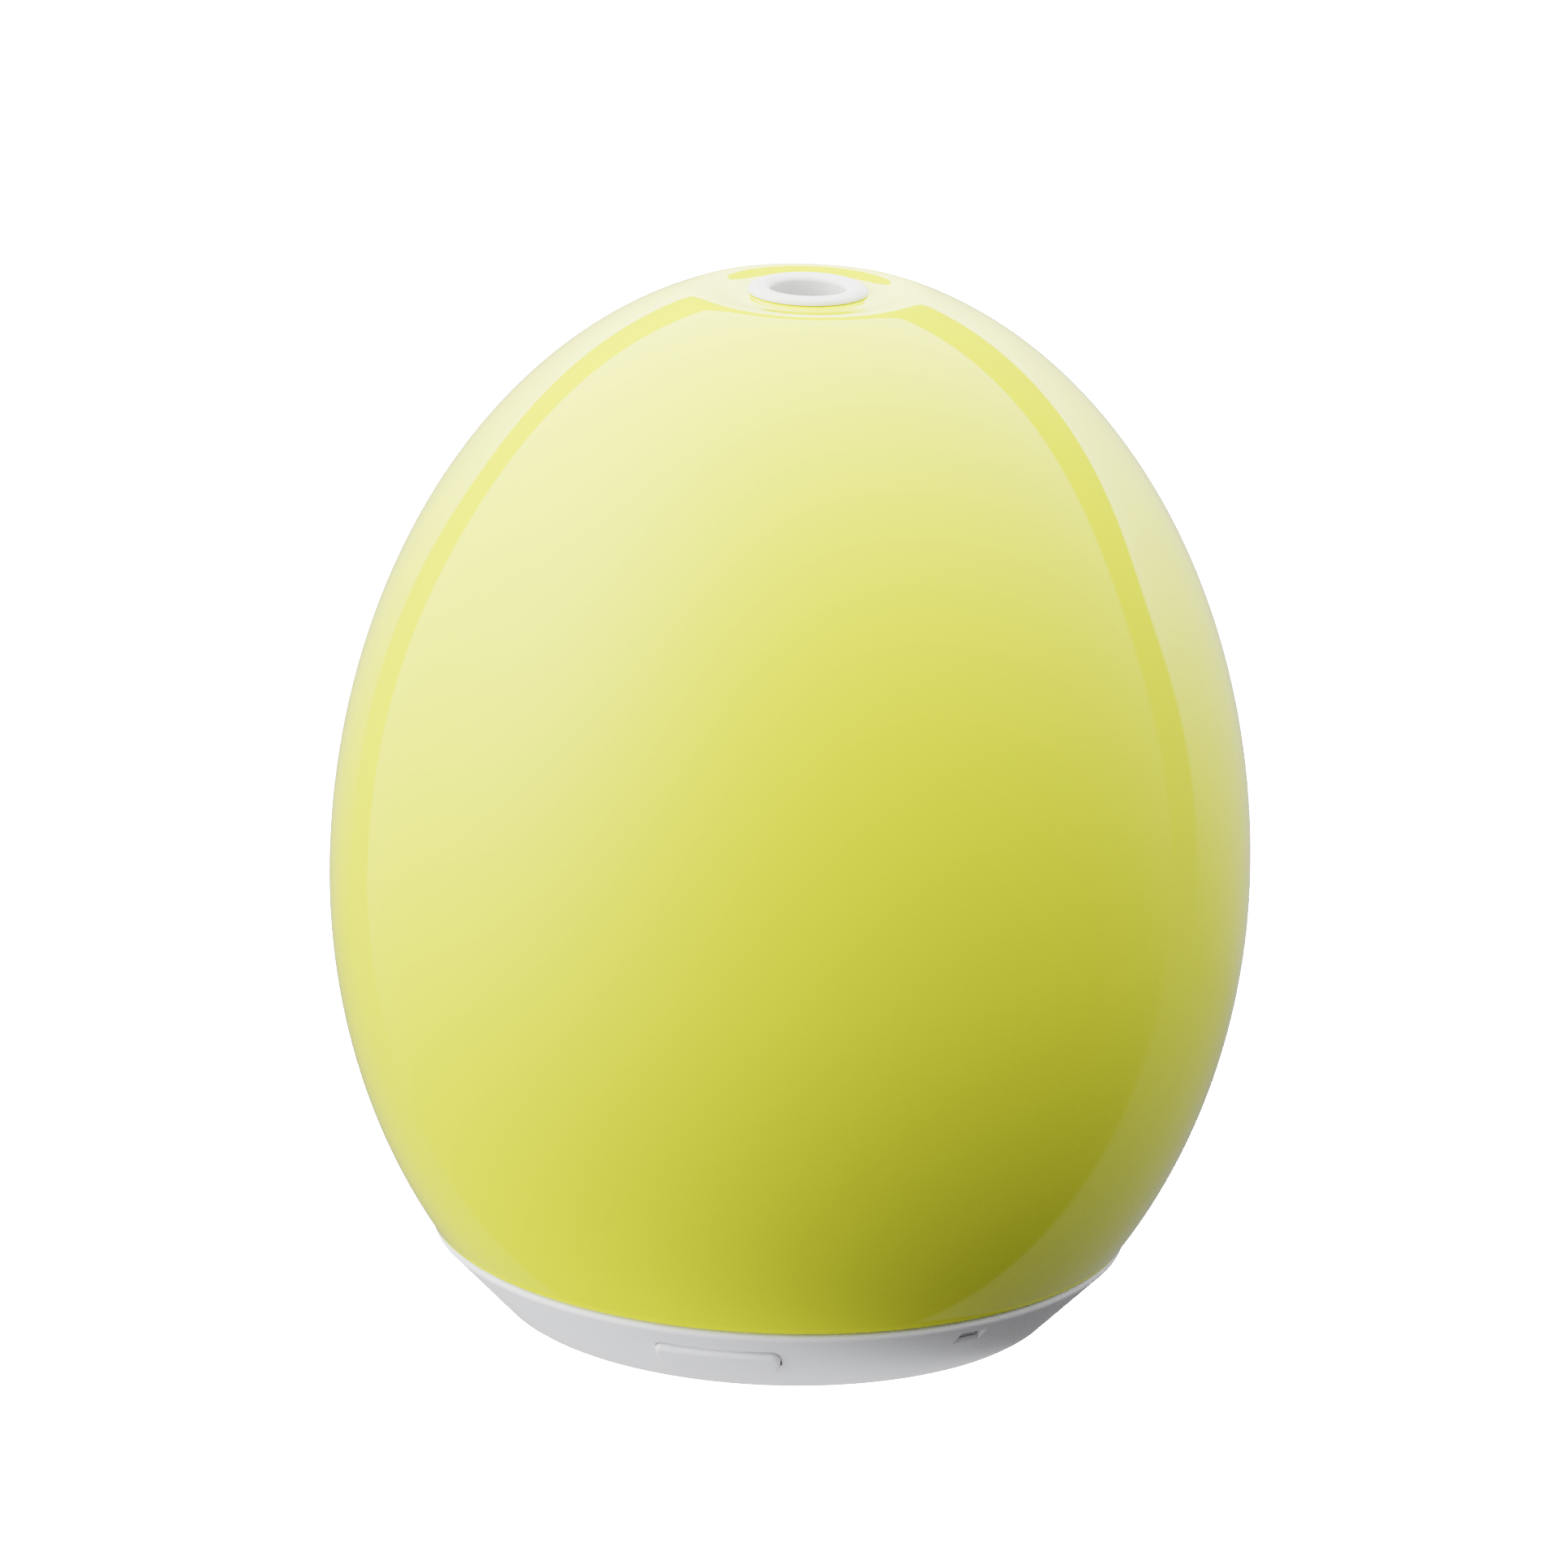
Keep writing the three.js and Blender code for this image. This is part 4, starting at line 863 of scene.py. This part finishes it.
def studio_world():
    world = bpy.data.worlds.new("studio")
    bpy.context.scene.world = world
    world.use_nodes = True
    nodes = world.node_tree.nodes
    links = world.node_tree.links
    nodes.clear()

    def put(value, socket):
        if isinstance(value, (int, float)):
            socket.default_value = value
        else:
            links.new(value, socket)

    def maths(operation, a, b=0.0, c=0.0, clamp=False):
        node = nodes.new("ShaderNodeMath")
        node.operation = operation
        node.use_clamp = clamp
        for value, socket in zip((a, b, c), node.inputs):
            put(value, socket)
        return node.outputs[0]

    def along(vector):
        node = nodes.new("ShaderNodeVectorMath")
        node.operation = "DOT_PRODUCT"
        links.new(direction, node.inputs[0])
        node.inputs[1].default_value = vector
        return node.outputs["Value"]

    def step(value, low, high):
        node = nodes.new("ShaderNodeMapRange")
        node.interpolation_type = "SMOOTHSTEP"
        links.new(value, node.inputs["Value"])
        node.inputs["From Min"].default_value = low
        node.inputs["From Max"].default_value = high
        return node.outputs["Result"]

    def inside(half_width, height, power, softness):
        """One inside a rounded panel that stands behind the object, seen from the object."""
        across = maths("POWER", maths("DIVIDE", sideways, half_width), power)
        up = maths("POWER", maths("DIVIDE", maths("MAXIMUM", upwards, 0.0), height), power)
        edge = step(maths("ADD", across, up), 1 - softness, 1 + softness)
        return maths("MULTIPLY", maths("SUBTRACT", 1.0, edge), maths("GREATER_THAN", y, 0.02))

    place = nodes.new("ShaderNodeTexCoord")
    direction = place.outputs["Generated"]
    parts = nodes.new("ShaderNodeSeparateXYZ")
    links.new(direction, parts.inputs[0])
    x, y, z = parts.outputs
    backwards = maths("MAXIMUM", y, 0.001)
    sideways = maths("DIVIDE", maths("ABSOLUTE", x), backwards)
    upwards = maths("DIVIDE", z, backwards)

    tent = maths("POWER", maths("MAXIMUM", maths("ADD", along(TENT_LEAN), TENT_BASE), 0.0), TENT_POWER)
    azimuth = math.radians(KEY_AZIMUTH)
    rise = math.radians(KEY_ELEVATION)
    key_way = (math.sin(azimuth) * math.cos(rise), -math.cos(azimuth) * math.cos(rise), math.sin(rise))
    key = maths("EXPONENT", maths("MULTIPLY", maths("SUBTRACT", along(key_way), 1.0), KEY_SPREAD))
    light = maths("ADD", tent, maths("MULTIPLY", key, KEY_STRENGTH))
    opening = inside(OPENING_HALF_WIDTH, OPENING_HEIGHT, 3.0, 0.06)
    wall = inside(WALL_HALF_WIDTH, WALL_HEIGHT, 4.0, 0.1)
    wall = maths("MULTIPLY", wall, step(z, *WALL_FOOT))
    height = maths("MAXIMUM", maths("MINIMUM", upwards, 1.0), -1.0)
    wall_light = maths("MULTIPLY", maths("EXPONENT", maths("MULTIPLY", height, WALL_RISE)), WALL_LIGHT)
    behind = maths("MULTIPLY_ADD", wall, maths("SUBTRACT", wall_light, GAP_LIGHT), GAP_LIGHT)
    light = maths("MULTIPLY", light, maths("SUBTRACT", 1.0, opening))
    light = maths("ADD", light, maths("MULTIPLY", opening, behind))
    light = maths("MULTIPLY", light, STUDIO_STRENGTH)

    studio = nodes.new("ShaderNodeBackground")
    links.new(light, studio.inputs["Strength"])
    backdrop = nodes.new("ShaderNodeBackground")
    backdrop.inputs["Strength"].default_value = PALE
    rays = nodes.new("ShaderNodeLightPath")
    mix = nodes.new("ShaderNodeMixShader")
    output = nodes.new("ShaderNodeOutputWorld")
    links.new(rays.outputs["Is Camera Ray"], mix.inputs["Fac"])
    links.new(studio.outputs[0], mix.inputs[1])
    links.new(backdrop.outputs[0], mix.inputs[2])
    links.new(mix.outputs["Shader"], output.inputs["Surface"])


CAMERA_AZIMUTH = 10
CAMERA_ELEVATION = 17.36
CAMERA_DISTANCE = 1.5
CAMERA_ROLL = 1.8
CAMERA_LENS = 211.6
CAMERA_SHIFT = (-0.00456, 0.0271)
CAMERA_TARGET = Vector((0, 0, 0.0815))


def camera():
    azimuth = math.radians(CAMERA_AZIMUTH)
    rise = math.radians(CAMERA_ELEVATION)
    level = math.cos(rise)
    back = Vector((math.sin(azimuth) * level, -math.cos(azimuth) * level, math.sin(rise)))
    data = bpy.data.cameras.new("camera")
    data.lens = CAMERA_LENS
    data.sensor_width = 36
    data.shift_x, data.shift_y = CAMERA_SHIFT
    data.clip_start = 0.05
    data.clip_end = 20
    obj = bpy.data.objects.new("camera", data)
    bpy.context.scene.collection.objects.link(obj)
    obj.rotation_mode = "QUATERNION"
    obj.location = CAMERA_TARGET + back * CAMERA_DISTANCE
    roll = Quaternion((0, 0, 1), math.radians(CAMERA_ROLL))
    obj.rotation_quaternion = (-back).to_track_quat("-Z", "Y") @ roll
    bpy.context.scene.camera = obj


floor()
table_bounce()
studio_world()
camera()
bpy.context.scene.view_settings.view_transform = "Filmic"
bpy.context.scene.view_settings.look = "High Contrast"
